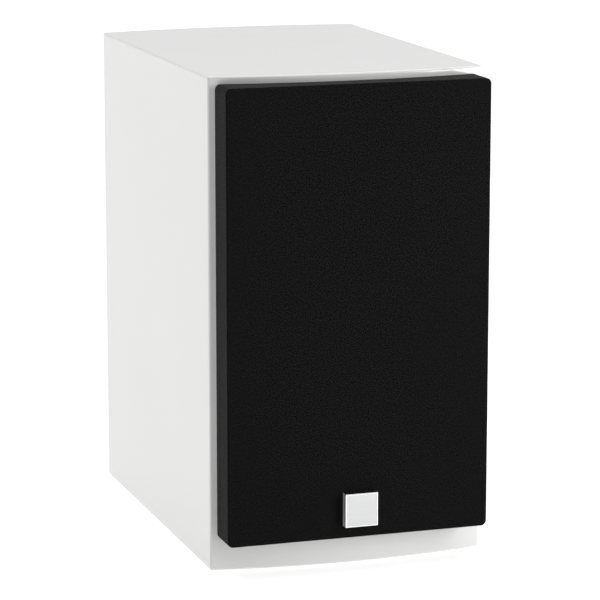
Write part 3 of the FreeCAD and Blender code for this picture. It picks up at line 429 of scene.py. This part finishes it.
def black_oxide():
    look = Look("black_oxide_steel", (0.035, 0.035, 0.038), 0.33, Metallic=0.9)
    oil = look.noise(220.0, 3.0)
    look.paint(look.mix(oil, (0.025, 0.025, 0.028), (0.06, 0.058, 0.056)))
    look.vary(oil, 0.24, 0.44)
    look.bump(look.noise(2200.0, 2.0), 0.12, 0.02)
    return look.material


def ferrite():
    look = Look("ferrite_ceramic", (0.06, 0.06, 0.063), 0.55, Metallic=0.25)
    grain = look.noise(700.0, 4.0, rough=0.7)
    ground = look.bands(300.0, "Z", distortion=2.0)
    look.paint(look.mix(grain, (0.04, 0.04, 0.043), (0.09, 0.09, 0.093)))
    look.vary(ground, 0.45, 0.65, 0.0, 1.0)
    look.bump(grain, 0.3, 0.08)
    return look.material


def paper_pulp():
    """A black pulp cone, with pale fibres lying at random in it."""
    look = Look("black_paper_pulp", (0.02, 0.02, 0.021), 0.8)
    fibres = look.noise(420.0, 4.0, look.stretch((1.0, 1.0, 0.22), (0.3, 0.8, 0.1)), rough=0.75)
    more = look.noise(420.0, 4.0, look.stretch((0.2, 1.0, 1.0), (0.9, 0.2, 0.6)), rough=0.75)
    strands = look.math("MAXIMUM", fibres, more)
    pale = look.range(strands, 0.0, 1.0, 0.55, 0.85)
    look.paint(look.mix(pale, (0.014, 0.014, 0.015), (0.10, 0.095, 0.085)))
    look.bump(strands, 0.35, 0.12)
    return look.material


def satin_cap():
    look = Look("dust_cap_fabric", (0.02, 0.02, 0.021), 0.5, Coat_Weight=0.15, Coat_Roughness=0.3)
    weave = look.weave(260.0)
    look.paint(look.mix(weave, (0.012, 0.012, 0.013), (0.032, 0.032, 0.034)))
    look.bump(weave, 0.3, 0.06)
    return look.material


def foil():
    look = Look("former_foil", (0.78, 0.78, 0.78), 0.28, Metallic=1.0)
    creases = look.noise(300.0, 4.0)
    look.vary(creases, 0.2, 0.38)
    look.bump(creases, 0.15, 0.04)
    return look.material


def wound_copper():
    """Enamelled wire, laid turn by turn; the turns run across Y and across Z."""
    look = Look("wound_copper", (0.62, 0.26, 0.10), 0.3, Metallic=1.0, Coat_Weight=0.5, Coat_Roughness=0.12)
    turns = look.math("MAXIMUM", look.bands(520.0, "Y"), look.bands(420.0, "Z"))
    look.paint(look.mix(turns, (0.25, 0.08, 0.03), (0.72, 0.34, 0.15)))
    look.bump(turns, 0.8, 0.2)
    return look.material


def treated_cloth():
    """Resin-stiffened woven cotton."""
    look = Look("amber_woven_cloth", (0.42, 0.22, 0.06), 0.7)
    weave = look.weave(330.0)
    stain = look.noise(60.0, 3.0)
    tone = look.math("MULTIPLY", weave, look.range(stain, 0.6, 1.0))
    look.paint(look.mix(tone, (0.20, 0.09, 0.02), (0.62, 0.36, 0.12)))
    look.bump(weave, 0.6, 0.12)
    return look.material


def coated_silk():
    look = Look("coated_silk", (0.014, 0.014, 0.015), 0.42, Sheen_Weight=0.25, Coat_Weight=0.25,
                Coat_Roughness=0.25)
    weave = look.weave(700.0)
    look.paint(look.mix(weave, (0.008, 0.008, 0.009), (0.026, 0.026, 0.028)))
    look.bump(weave, 0.35, 0.04)
    return look.material


def gold_plate():
    look = Look("gold_plate", (0.83, 0.60, 0.27), 0.17, Metallic=1.0)
    haze = look.noise(300.0, 3.0)
    look.paint(look.mix(haze, (0.78, 0.54, 0.22), (0.88, 0.66, 0.32)))
    look.vary(haze, 0.12, 0.26)
    look.bump(look.noise(1600.0, 2.0), 0.05, 0.02)
    return look.material


def clear_moulding(name, tint):
    """The tinted, slightly see-through plastic of a terminal knob."""
    look = Look(name, tint, 0.2, Transmission_Weight=0.15, Coat_Weight=0.4, Coat_Roughness=0.08, IOR=1.49)
    swirl = look.noise(180.0, 3.0)
    look.paint(look.mix(swirl, shade(tint, 0.8), shade(tint, 1.25)))
    look.vary(swirl, 0.14, 0.28)
    look.bump(look.noise(1500.0, 2.0), 0.06, 0.02)
    return look.material


def laminate():
    """Circuit board: glass cloth under resin, with broad tinned tracks."""
    base = (0.30, 0.22, 0.07)
    look = Look("board_laminate", base, 0.35, Coat_Weight=0.3)
    weave = look.weave(110.0, along="Y")
    resin = look.mix(weave, shade(base, 0.75), shade(base, 1.2))
    tracks = look.node("ShaderNodeTexBrick")
    look.join(look.place, tracks.inputs["Vector"])
    set_inputs(tracks, Scale=26.0, Mortar_Size=0.05)
    look.paint(look.mix(tracks.outputs["Fac"], resin, (0.13, 0.20, 0.07)))
    look.bump(tracks.outputs["Fac"], 0.4, 0.05)
    look.bump(weave, 0.2, 0.04)
    return look.material


def capacitor_wrap():
    """Yellow film with resin-filled ends, printed with plain bands."""
    look = Look("yellow_film", (0.62, 0.40, 0.05), 0.3, Coat_Weight=0.5, Coat_Roughness=0.1)
    layers = look.bands(180.0, "Z", distortion=1.0)
    look.paint(look.mix(layers, (0.52, 0.32, 0.03), (0.70, 0.47, 0.08)))
    look.bump(look.noise(250.0, 3.0), 0.25, 0.1)
    return look.material


def cement():
    look = Look("white_cement", (0.72, 0.71, 0.67), 0.85)
    grit = look.noise(900.0, 4.0, rough=0.7)
    look.paint(look.mix(grit, (0.58, 0.57, 0.53), (0.80, 0.79, 0.75)))
    look.bump(grit, 0.4, 0.1)
    return look.material


def insulation(name, tint):
    """Extruded PVC with faint drawing lines."""
    look = Look(name, tint, 0.38)
    scuffs = look.noise(160.0, 4.0)
    look.paint(look.mix(scuffs, shade(tint, 0.75), shade(tint, 1.25)))
    look.vary(scuffs, 0.3, 0.5)
    look.bump(look.noise(900.0, 2.0), 0.12, 0.04)
    return look.material


def finishes():
    """Every material slot of the record, with the look of its pieces."""
    return {
        "lacquered_panel": lacquer(),
        "bare_fibreboard": fibreboard(),
        "damping_felt": wadding(),
        "black_rubber": rubber(),
        "gasket_foam": gasket_foam(),
        "moulded_black": moulded_plastic(),
        "grille_cloth": knitted_cloth(),
        "badge_rim": polished_metal(),
        "badge_face": satin_metal(),
        "cast_alloy": powder_coat(),
        "plated_steel": zinc_steel(),
        "black_steel": black_oxide(),
        "ferrite": ferrite(),
        "paper_cone": paper_pulp(),
        "dust_cap": satin_cap(),
        "coil_former": foil(),
        "copper_wire": wound_copper(),
        "treated_cloth": treated_cloth(),
        "silk_dome": coated_silk(),
        "gold_plate": gold_plate(),
        "red_knob": clear_moulding("red_moulding", (0.42, 0.012, 0.012)),
        "black_knob": clear_moulding("black_gloss_moulding", (0.012, 0.012, 0.012)),
        "circuit_board": laminate(),
        "capacitor_film": capacitor_wrap(),
        "resistor_cement": cement(),
        "red_insulation": insulation("red_pvc", (0.45, 0.02, 0.02)),
        "black_insulation": insulation("black_pvc", (0.016, 0.016, 0.016)),
    }


# ---- mesh tools
def add_piece(name, vertices, faces, slot, body=None, smooth=True):
    """A new mesh piece with its finish. It rides on body, if one is given."""
    mesh = bpy.data.meshes.new(name)
    mesh.from_pydata([tuple(v) for v in vertices], [], faces)
    mesh.validate()
    for polygon in mesh.polygons:
        polygon.use_smooth = smooth
    piece = put_in_scene(name, mesh)
    piece.data.materials.append(LOOKS[slot])
    if body:
        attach(piece, body)
    return piece


def lathe_faces(count, sides, base=0):
    """The faces of a closed section of count points that is turned round; base is its first point."""
    faces = []
    for i in range(sides):
        ahead = (i + 1) % sides
        for k in range(count):
            after = (k + 1) % count
            faces.append((base + i * count + k, base + i * count + after,
                          base + ahead * count + after, base + ahead * count + k))
    return faces


def turned_piece(name, profile, centre, slot, sides=192):
    """A ring about a front-to-back axis; profile is a closed list of (radius, y) round the section."""
    vertices = []
    for i in range(sides):
        angle = 2 * math.pi * i / sides
        vertices += [(centre.x + radius * math.cos(angle), y, centre.z + radius * math.sin(angle))
                     for radius, y in profile]
    return add_piece(name, vertices, lathe_faces(len(profile), sides), slot)


def thick_profile(line, thick_at):
    """A closed section from an open line of (radius, y), thickened backwards (+Y) square to the line."""
    back = []
    for k, (radius, y) in enumerate(line):
        before = line[max(k - 1, 0)]
        after = line[min(k + 1, len(line) - 1)]
        run = Vector((after[0] - before[0], after[1] - before[1])).normalized()
        normal = Vector((-run.y, run.x))
        if normal.y < 0:
            normal = -normal
        thick = thick_at(radius)
        back.append((radius + normal.x * thick, y + normal.y * thick))
    return line + back[::-1]


def softened(line, rounds):
    """Rounds the corners of an open line of points, and leaves its ends."""
    for _ in range(rounds):
        inner = [tuple((a + 2 * b + c) / 4 for a, b, c in zip(*trio))
                 for trio in zip(line, line[1:], line[2:])]
        line = [line[0], *inner, line[-1]]
    return line


def blend_radially(piece):
    """Bakes the piece's placement into its mesh."""
    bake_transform(piece)


def middle_of(node):
    low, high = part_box(node)
    return (low + high) / 2


def spread_between(start, end, step):
    """Evenly spaced values from start to end, about step apart."""
    count = max(1, round((end - start) / step))
    return [start + (end - start) * i / count for i in range(count + 1)]


BULGE = 10 * MM
FRONT_LOW, FRONT_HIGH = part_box("front_baffle")
HALF_WIDTH = (FRONT_HIGH.x - FRONT_LOW.x) / 2
BOW_RADIUS = (HALF_WIDTH ** 2 + BULGE ** 2) / (2 * BULGE)


def grid_quads(columns, rows):
    """The faces of a grid of points that is stored row by row."""
    return [(r * columns + c, r * columns + c + 1, (r + 1) * columns + c + 1, (r + 1) * columns + c)
            for r in range(rows - 1) for c in range(columns - 1)]


def grid_rim(columns, rows):
    """The points round the edge of such a grid, in order."""
    rim = list(range(columns)) + [r * columns + columns - 1 for r in range(1, rows)]
    rim += [(rows - 1) * columns + c for c in reversed(range(columns - 1))]
    return rim + [r * columns for r in reversed(range(1, rows - 1))]


def face_outwards(piece, open_skin=False):
    """Turns a closed mesh's faces outwards; an open skin's front is turned towards -Y."""
    mesh = bmesh.new()
    mesh.from_mesh(piece.data)
    bmesh.ops.recalc_face_normals(mesh, faces=mesh.faces)
    mesh.faces.ensure_lookup_table()
    if open_skin and sum(face.normal.y * face.calc_area() for face in mesh.faces) > 0:
        bmesh.ops.reverse_faces(mesh, faces=mesh.faces)
    mesh.to_mesh(piece.data)
    mesh.free()


def bow_of(x):
    """How far the bowed front lies behind its crown, at x from the middle."""
    return BOW_RADIUS - math.sqrt(BOW_RADIUS ** 2 - x ** 2)


# ---- grille cloth
CLOTH = 0.8 * MM
CLOTH_CORNER = 4.0 * MM
CLOTH_EDGE = 1.0 * MM
CLOTH_GRID = 2.5 * MM
FRAME_CLEARANCE = 0.04 * MM
CLOTH_GAP = 0.5 * MM  # between the cloth's rear edge and the baffle
CLOTH_SLACK = 0.05 * MM  # how far the stretched cloth wavers
CLOTH_WAVES = 90


def corner_rows(reach):
    """Distances out from the start of the corner zone to the rim, closer together where the edge turns."""
    flat = reach - CLOTH_EDGE
    flat_steps = 3
    steps = 6
    turning = [flat + CLOTH_EDGE * math.sin(math.pi / 2 * i / steps) for i in range(1, steps + 1)]
    return [flat * i / flat_steps for i in range(1, flat_steps + 1)] + turning


def cloth_rows(half):
    """Grid lines from -half to half: even in the middle, close together in the corner zones."""
    inner = half - CLOTH_CORNER
    ends = [inner + row for row in corner_rows(CLOTH_CORNER)]
    return [-v for v in reversed(ends)] + spread_between(-inner, inner, CLOTH_GRID) + ends


def rounded_corner(x, z, half_x, half_z):
    """Moves a point of the square grid so that the grid's rim follows the rounded corner."""
    a = (abs(x) - half_x + CLOTH_CORNER) / CLOTH_CORNER
    b = (abs(z) - half_z + CLOTH_CORNER) / CLOTH_CORNER
    if a <= 0 or b <= 0:
        return x, z
    across = half_x - CLOTH_CORNER + CLOTH_CORNER * a * math.sqrt(1 - b * b / 2)
    up = half_z - CLOTH_CORNER + CLOTH_CORNER * b * math.sqrt(1 - a * a / 2)
    return math.copysign(across, x), math.copysign(up, z)


def to_rim(x, z, half_x, half_z):
    """(distance to the rounded outline, direction straight out to it)."""
    out = Vector((abs(x) - half_x + CLOTH_CORNER, abs(z) - half_z + CLOTH_CORNER))
    if out.x > 0 and out.y > 0:
        distance = CLOTH_CORNER - out.length
        direction = out.normalized()
    elif out.x > out.y:
        distance = CLOTH_CORNER - out.x
        direction = Vector((1, 0))
    else:
        distance = CLOTH_CORNER - out.y
        direction = Vector((0, 1))
    return distance, Vector((math.copysign(direction.x, x), math.copysign(direction.y, z)))


class ClothSkin:
    """The cover's outer face, as lists of vertices, faces and places on the flat cloth in millimetres."""

    def __init__(self, low, high):
        self.half_x = (high.x - low.x) / 2
        self.half_z = (high.z - low.z) / 2
        self.middle_z = (high.z + low.z) / 2
        self.front = low.y
        self.vertices = []
        self.fabric = []

    def add(self, x, z, y, direction, inset, past):
        """past is how far along the cloth the point lies from the line where it leaves the flat."""
        slack = CLOTH_SLACK * noise.noise(Vector((x, y, z)) * CLOTH_WAVES)
        inner = Vector((x, z)) - direction * (inset + slack)
        self.vertices.append((inner.x, y + slack, self.middle_z + inner.y))
        unrolled = Vector((x, z)) - direction * CLOTH_EDGE + direction * past
        self.fabric.append((unrolled.x / MM, unrolled.y / MM))

    def across_front(self, columns, rows):
        """The flat front, and the edge that turns back from it. Returns the faces."""
        for z in rows:
            for x in columns:
                px, pz = rounded_corner(x, z, self.half_x, self.half_z)
                distance, direction = to_rim(px, pz, self.half_x, self.half_z)
                turn = math.asin(min(1.0, max(0.0, 1 - distance / CLOTH_EDGE)))
                y = self.front + CLOTH_EDGE * (1 - math.cos(turn))
                if turn > 0:
                    outline = Vector((px, pz)) + direction * distance
                    self.add(outline.x, outline.y, y, direction, distance, CLOTH_EDGE * turn)
                else:
                    self.vertices.append((px, y, self.middle_z + pz))
                    self.fabric.append((px / MM, pz / MM))
        return grid_quads(len(columns), len(rows))

    def down_sides(self, rim, levels):
        """The four sides, from the front's rim back to the bowed baffle. Returns the faces."""
        faces = []
        start = self.front + CLOTH_EDGE
        previous = rim
        for level in range(1, levels + 1):
            ring = []
            for index in rim:
                x, _, z = self.vertices[index]
                z -= self.middle_z
                distance, direction = to_rim(x, z, self.half_x, self.half_z)
                back = FRONT_LOW.y + bow_of(x) - CLOTH_GAP
                depth = (back - start) * level / levels
                ring.append(len(self.vertices))
                self.add(x + direction.x * distance, z + direction.y * distance, start + depth,
                         direction, 0.0, CLOTH_EDGE * math.pi / 2 + depth)
            for k in range(len(rim)):
                after = (k + 1) % len(rim)
                faces.append((previous[k], previous[after], ring[after], ring[k]))
            previous = ring
        return faces


def stretched_cloth():
    """The knitted cover: flat across the frame's front, turned over its edges, back to the bowed baffle."""
    low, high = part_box("grille_cloth")
    skin = ClothSkin(low, high)
    columns = cloth_rows(skin.half_x)
    rows = cloth_rows(skin.half_z)
    faces = skin.across_front(columns, rows)
    faces += skin.down_sides(grid_rim(len(columns), len(rows)), levels=9)
    piece = add_piece("grille_cloth_sheet", skin.vertices, faces, "grille_cloth")
    layer = piece.data.uv_layers.new(name="fabric_mm")
    for loop in piece.data.loops:
        layer.data[loop.index].uv = skin.fabric[loop.vertex_index]
    thicken(piece, CLOTH - FRAME_CLEARANCE)
    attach(piece, "grille")
    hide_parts("grille_cloth")


def thicken(piece, amount):
    """Gives an open skin a real thickness behind its outer face, and applies it."""
    face_outwards(piece, open_skin=True)
    solidify = piece.modifiers.new("thickness", "SOLIDIFY")
    solidify.thickness = amount
    solidify.offset = -1.0
    solidify.use_even_offset = True
    apply_modifiers(piece)


def apply_modifiers(piece):
    graph = bpy.context.evaluated_depsgraph_get()
    final = bpy.data.meshes.new_from_object(piece.evaluated_get(graph))
    piece.modifiers.clear()
    piece.data = final


# ---- soft parts of the drivers
def half_roll(start, end, steps=30):
    """Points of (radius, depth) over a half circle that rises forwards between two radii."""
    middle = (start + end) / 2
    size = (end - start) / 2
    angles = [math.pi * i / steps for i in range(steps + 1)]
    return [(middle - size * math.cos(angle), -size * math.sin(angle)) for angle in angles]


def rolled_surround(name, node, slot, lip_inner, roll_inner, roll_outer, lip_outer, thick, play):
    """A surround ring that reaches from the frame outside to the cone inside. Radii in mm.

    play is the share of the thickness that is left free behind it.
    """
    low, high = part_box(node)
    centre = (low + high) / 2
    seat = high.y - thick * MM
    lips = [(radius, 0.0) for radius in spread_between(lip_inner, roll_inner, thick)][:-1]
    rim = [(radius, 0.0) for radius in spread_between(roll_outer, lip_outer, thick)][1:]
    line = softened(lips + half_roll(roll_inner, roll_outer) + rim, rounds=3)
    line = [(radius * MM, seat + depth * MM) for radius, depth in line]
    thin = thick * (1 - play)
    piece = turned_piece(name, thick_profile(line, lambda radius: thin * MM), centre, slot)
    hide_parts(node)
    blend_radially(piece)


def woofer_surround():
    rolled_surround("woofer_surround_roll", "woofer_surround", "black_rubber",
                    lip_inner=53.0, roll_inner=57.0, roll_outer=67.4, lip_outer=72.2, thick=1.0, play=0.02)


def tweeter_surround():
    rolled_surround("tweeter_surround_roll", "tweeter_surround", "silk_dome",
                    lip_inner=14.66, roll_inner=14.9, roll_outer=18.0, lip_outer=20.3, thick=0.35, play=0.05)


def corrugated_spider():
    """Resin-stiffened cloth, pressed into six rings that alternate back and forth."""
    low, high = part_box("woofer_spider")
    centre = (low + high) / 2
    inner, first, last, edge, lip = 16.45, 19.45, 47.0, 51.0, 56.5
    rings = 6
    swing = 1.45
    cloth, doubled = 0.55, 0.95
    behind_seat = 2.2  # the node's rearmost ring and the cloth's thickness
    seat = high.y - behind_seat * MM
    spacing = 0.45
    line = []
    for radius in spread_between(inner, lip, spacing):
        turn = (radius - first) / (last - first) * rings
        wave = math.sin(math.pi * turn) if first < radius < last else 0.0
        line.append((radius * MM, seat - swing * wave * MM))
    section = thick_profile(line, lambda radius: (doubled if radius > edge * MM else cloth) * MM)
    piece = turned_piece("woofer_spider_cloth", section, centre, "treated_cloth")
    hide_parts("woofer_spider")
    blend_radially(piece)


def spline_points(route):
    """Points along the smooth NURBS line through a route's control points."""
    curve = bpy.data.curves.new("route", "CURVE")
    curve.dimensions = "3D"
    spline = curve.splines.new("NURBS")
    spline.points.add(len(route) - 1)
    for point, place in zip(spline.points, route):
        point.co = (*place, 1.0)
    spline.order_u = 3
    spline.use_endpoint_u = True
    spline.resolution_u = 32
    holder = put_in_scene("route", curve)
    graph = bpy.context.evaluated_depsgraph_get()
    mesh = bpy.data.meshes.new_from_object(holder.evaluated_get(graph))
    points = [vertex.co.copy() for vertex in mesh.vertices]
    bpy.data.objects.remove(holder)
    return points


def travelled(points):
    """Distance from the first point to each point, along the line."""
    reached = [0.0]
    for a, b in zip(points, points[1:]):
        reached.append(reached[-1] + (b - a).length)
    return reached


def frames_along(points):
    """(tangent, side, up) at each point, turning as little as possible from one to the next."""
    frames = []
    side = Vector((0, 0, 1))
    for k in range(len(points)):
        tangent = (points[min(k + 1, len(points) - 1)] - points[max(k - 1, 0)]).normalized()
        side = (side - tangent * side.dot(tangent)).normalized()
        frames.append((tangent, side, tangent.cross(side)))
    return frames


def tube_mesh(points, radius, vertices, faces, sides):
    """Adds a round closed tube along points to the lists of vertices and faces."""
    base = len(vertices)
    for point, (_, side, up) in zip(points, frames_along(points)):
        for i in range(sides):
            angle = 2 * math.pi * i / sides
            vertices.append(point + side * (radius * math.cos(angle)) + up * (radius * math.sin(angle)))
    for k in range(len(points) - 1):
        for i in range(sides):
            a = base + k * sides + i
            b = base + k * sides + (i + 1) % sides
            faces.append((a, b, b + sides, a + sides))
    faces.append(tuple(base + i for i in reversed(range(sides))))
    faces.append(tuple(base + (len(points) - 1) * sides + i for i in range(sides)))


def twisted_strands(points, vertices, faces, strands, offset, lay_length, radius):
    """Strands that wind round the line, one turn in each lay length."""
    frames = frames_along(points)
    reached = travelled(points)
    for strand in range(strands):
        line = []
        for point, (_, side, up), gone in zip(points, frames, reached):
            angle = 2 * math.pi * (gone / lay_length + strand / strands)
            line.append(point + side * (offset * math.cos(angle)) + up * (offset * math.sin(angle)))
        tube_mesh(line, radius, vertices, faces, sides=8)


def tinsel_leads():
    """Two limp braided leads that run between the terminal strip and the cone."""
    surround_back = 2.2
    face_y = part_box("woofer_surround")[1].y - surround_back * MM
    axis = middle_of("woofer_surround")
    route = [(61.4, 35.0, 9.0), (60.6, 26.5, 9.3), (54.5, 19.5, 8.2), (46.5, 16.5, 6.2), (40.0, 10.6, 5.0)]
    vertices = []
    faces = []
    for side in (-1, 1):
        places = [Vector((x * MM, face_y + y * MM, axis.z + side * z * MM)) for x, y, z in route]
        twisted_strands(spline_points(places), vertices, faces, strands=3, offset=0.26 * MM,
                        lay_length=3.4 * MM, radius=0.24 * MM)
    piece = add_piece("woofer_tinsel_braids", vertices, faces, "copper_wire")
    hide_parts("woofer_tinsel_leads")
    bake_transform(piece)


# ---- wadding
PAD_GRID = 3.0 * MM
PAD_EDGE = 8.0 * MM
STAPLE_LIE = 10.0 * MM
STAPLE_WIRE = 0.45 * MM


def separate_boxes(node):
    """The (lowest, highest) corners of each separate solid in a node."""
    mesh = bmesh.new()
    mesh.from_mesh(nodes[node].data)
    bmesh.ops.remove_doubles(mesh, verts=mesh.verts, dist=0.01 * MM)
    left = set(mesh.verts)
    boxes = []
    while left:
        reached = [left.pop()]
        corners = []
        while reached:
            vertex = reached.pop()
            corners.append(vertex.co.copy())
            for edge in vertex.link_edges:
                other = edge.other_vert(vertex)
                if other in left:
                    left.remove(other)
                    reached.append(other)
        boxes.append((Vector(min(c[i] for c in corners) for i in range(3)),
                      Vector(max(c[i] for c in corners) for i in range(3))))
    mesh.free()
    return sorted(boxes, key=lambda box: tuple(round(v, 3) for v in box[0]))


def pad_height(u, v, wide, tall, staples):
    """Share of the full thickness at (u, v): rounded at the edges, lumpy, and pressed in at the staples."""
    rim, plain, least = 0.42, 0.90, 0.2
    press, dimple = 0.45, 9 * MM
    edge = min(u, v, wide - u, tall - v, PAD_EDGE) / PAD_EDGE
    crown = rim + (1 - rim) * math.sqrt(max(0.0, 1 - (1 - edge) ** 2))
    lumps = 0.07 * noise.noise(Vector((u, v, wide)) * 28) + 0.035 * noise.noise(Vector((u, v, tall)) * 140)
    height = crown * (plain + lumps)
    for x, y in staples:
        distance = math.hypot(u - x, v - y)
        height -= press * math.exp(-((distance / dimple) ** 2))
    return max(least, height)


def staple_places(wide, tall):
    """Where a pad is stapled: near its corners, and halfway along it where it is long."""
    inset_u, inset_v = 0.17, 0.22
    long = 170 * MM
    across = [wide * inset_u, wide * (1 - inset_u)]
    if wide >= long:
        across.insert(1, wide / 2)
    return [(u, v) for u in across for v in (tall * inset_v, tall * (1 - inset_v))]


def wadding_pad(name, low, high, wall, sign):
    """One batt of wadding on an inner wall, and the routes of its staples, which are returned.

    wall is the axis square to the wall, and sign points along it into the cabinet's room.
    """
    first, second = [axis for axis in range(3) if axis != wall]
    wide = high[first] - low[first]
    tall = high[second] - low[second]
    thick = high[wall] - low[wall]
    start = low[wall] if sign > 0 else high[wall]
    staples = staple_places(wide, tall)
    columns = spread_between(0.0, wide, PAD_GRID)
    rows = spread_between(0.0, tall, PAD_GRID)

    def place(u, v, height):
        """A point on the pad; the outline pulls in between the corners, and its edge is torn, not cut."""
        pull = 2.2 * MM
        shy = 0.6 * MM + 0.5 * MM * noise.noise(Vector((u, v, height)) * 180)
        across = u - (2 * u / wide - 1) * (pull * math.sin(math.pi * v / tall) + shy)
        up = v - (2 * v / tall - 1) * (pull * math.sin(math.pi * u / wide) + shy)
        point = [0.0, 0.0, 0.0]
        point[first] = low[first] + across
        point[second] = low[second] + up
        point[wall] = start + sign * height
        return point

    vertices = [place(u, v, thick * pad_height(u, v, wide, tall, staples)) for v in rows for u in columns]
    vertices += [place(u, v, 0.0) for v in rows for u in columns]
    layer = len(columns) * len(rows)
    faces = []
    for front in grid_quads(len(columns), len(rows)):
        faces += [front, tuple(layer + i for i in reversed(front))]
    rim = grid_rim(len(columns), len(rows))
    for a, b in zip(rim, rim[1:] + rim[:1]):
        faces.append((b, a, layer + a, layer + b))
    pad = add_piece(name, vertices, faces, "damping_felt", "cabinet")
    face_outwards(pad)
    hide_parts("damping_pads")
    above = 0.6 * STAPLE_WIRE
    tops = [thick * pad_height(u, v, wide, tall, staples) + above for u, v in staples]
    return [[Vector(place(along, v, up)) for along, up in staple_route(u, top)]
            for (u, v), top in zip(staples, tops)]


def staple_route(u, top):
    """(along, height) of a staple's bends: two legs into the wadding and a crown that lies on it."""
    half = STAPLE_LIE / 2
    bend = 1 * MM
    foot = 0.35 * top
    return [(u - half, foot), (u - half, top), (u - half + bend, top),
            (u + half - bend, top), (u + half, top), (u + half, foot)]


def wadding_pads():
    """Pads on both side walls, the back and under the top, and the wire staples that hold them."""
    thin = 30 * MM
    lines = []
    for number, (low, high) in enumerate(separate_boxes("damping_pads"), 1):
        if high.x - low.x < thin:
            wall, sign = 0, (1 if low.x < 0 else -1)
        elif high.z - low.z < thin:
            wall, sign = 2, -1
        else:
            wall, sign = 1, -1
        lines += wadding_pad(f"wadding_pad_{number}", low, high, wall, sign)
    vertices = []
    faces = []
    for line in lines:
        tube_mesh(spline_points(line), STAPLE_WIRE, vertices, faces, sides=6)
    add_piece("wadding_staples", vertices, faces, "plated_steel", "cabinet")


# ---- inductors
BOBBIN_WALL = 1.2 * MM


def upright_turned(profile, centre_x, centre_y, vertices, faces, sides=72):
    """Adds a ring about an upright axis; profile is a closed list of (radius, z)."""
    faces.extend(lathe_faces(len(profile), sides, len(vertices)))
    for i in range(sides):
        angle = 2 * math.pi * i / sides
        vertices.extend((centre_x + radius * math.cos(angle), centre_y + radius * math.sin(angle), z)
                        for radius, z in profile)


def wound_section(radius, bore, low, high, wire):
    """A coil's section: scalloped outside, one scallop for each turn of wire, and plain inside."""
    turns = round((high - low) / wire)
    half = (high - low) / turns / 2
    steps = 7
    outside = []
    for turn in range(turns):
        middle = low + (2 * turn + 1) * half
        for step in range(steps):
            angle = -math.pi / 2 + math.pi * (step + 0.5) / steps
            outside.append((radius - half + half * math.cos(angle), middle + half * math.sin(angle)))
    return [(bore, low)] + outside + [(bore, high)]


def bobbin_section(outer, bore, low, high, flange):
    """A spool: two flanges with eased rims on a thin tube."""
    tube = bore + BOBBIN_WALL
    ease = 0.4 * MM
    return [(bore, low), (outer - ease, low), (outer, low + ease), (outer, low + flange - ease),
            (outer - ease, low + flange), (tube, low + flange), (tube, high - flange),
            (outer - ease, high - flange), (outer, high - flange + ease), (outer, high - ease),
            (outer - ease, high), (bore, high)]


def inductors():
    """Air-cored coils: enamelled wire wound turn beside turn on black bobbins."""
    flange = 1.6 * MM
    lip = 2.0 * MM
    wire = 1.15 * MM
    bore_share = 0.38
    clearance = 0.05 * MM
    wound = ([], [])
    spools = ([], [])
    for low, high in separate_boxes("inductors"):
        x = (low.x + high.x) / 2
        y = (low.y + high.y) / 2
        outer = (high.x - low.x) / 2
        radius = outer - lip
        bore = radius * bore_share
        inner = bore + BOBBIN_WALL + clearance
        upright_turned(bobbin_section(outer, bore, low.z, high.z, flange), x, y, *spools)
        section = wound_section(radius, inner, low.z + flange, high.z - flange, wire)
        upright_turned(section, x, y, *wound)
    for name, (vertices, faces), slot in (("inductor_windings", wound, "copper_wire"),
                                          ("inductor_bobbins", spools, "moulded_black")):
        piece = add_piece(name, vertices, faces, slot, "cabinet")
        face_outwards(piece)
        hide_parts("inductors")


# ---- terminals
def raised_bar(x, z, floor_y, long, wide, upright, vertices, faces):
    """Adds a moulded bar with sloping sides, standing off the cup's floor towards +Y."""
    base = len(vertices)
    rise = 0.5 * MM
    sunk = 0.2 * MM
    slope = 0.25 * MM
    for y, less in ((floor_y - sunk, 0.0), (floor_y + rise, slope)):
        half_long = long / 2 - less
        half_wide = wide / 2 - less
        for a, b in ((-1, -1), (1, -1), (1, 1), (-1, 1)):
            across, along = (b * half_wide, a * half_long) if upright else (a * half_long, b * half_wide)
            vertices.append((x + across, y, z + along))
    for ring in ((3, 2, 1, 0), (4, 5, 6, 7), (0, 1, 5, 4), (1, 2, 6, 5), (2, 3, 7, 6), (3, 0, 4, 7)):
        faces.append(tuple(base + i for i in ring))


def polarity_marks():
    """A plus and a minus moulded into the terminal cup's floor, below the posts."""
    long, wide = 6.0 * MM, 1.5 * MM
    drop = 17.0 * MM
    rim = 6 * MM
    overlap = 0.3 * MM
    vertices = []
    faces = []
    for node, positive in (("positive_post", True), ("negative_post", False)):
        post = middle_of(node)
        near = [v.co for v in nodes["terminal_cup"].data.vertices
                if math.hypot(v.co.x - post.x, v.co.z - post.z) < rim]
        floor_y = max(co.y for co in near)
        raised_bar(post.x, post.z - drop, floor_y, long, wide, False, vertices, faces)
        if positive:
            arm = (long - wide) / 2
            offset = (long + wide) / 4 - overlap
            for side in (-1, 1):
                raised_bar(post.x, post.z - drop + side * offset, floor_y, arm, wide, True, vertices, faces)
    piece = add_piece("polarity_marks", vertices, faces, "moulded_black", "cabinet", smooth=False)
    face_outwards(piece)


def finish_cad_nodes():
    """Gives each CAD node the finish that the record names for it."""
    for part in frame["record"]["subparts"]:
        node = nodes[part["node"]]
        node.data.materials.clear()
        node.data.materials.append(LOOKS[part["material_slot"]])


LOOKS = finishes()
make_camera()
make_lights()
make_floor()
finish_cad_nodes()
stretched_cloth()
woofer_surround()
tweeter_surround()
corrugated_spider()
tinsel_leads()
wadding_pads()
inductors()
polarity_marks()
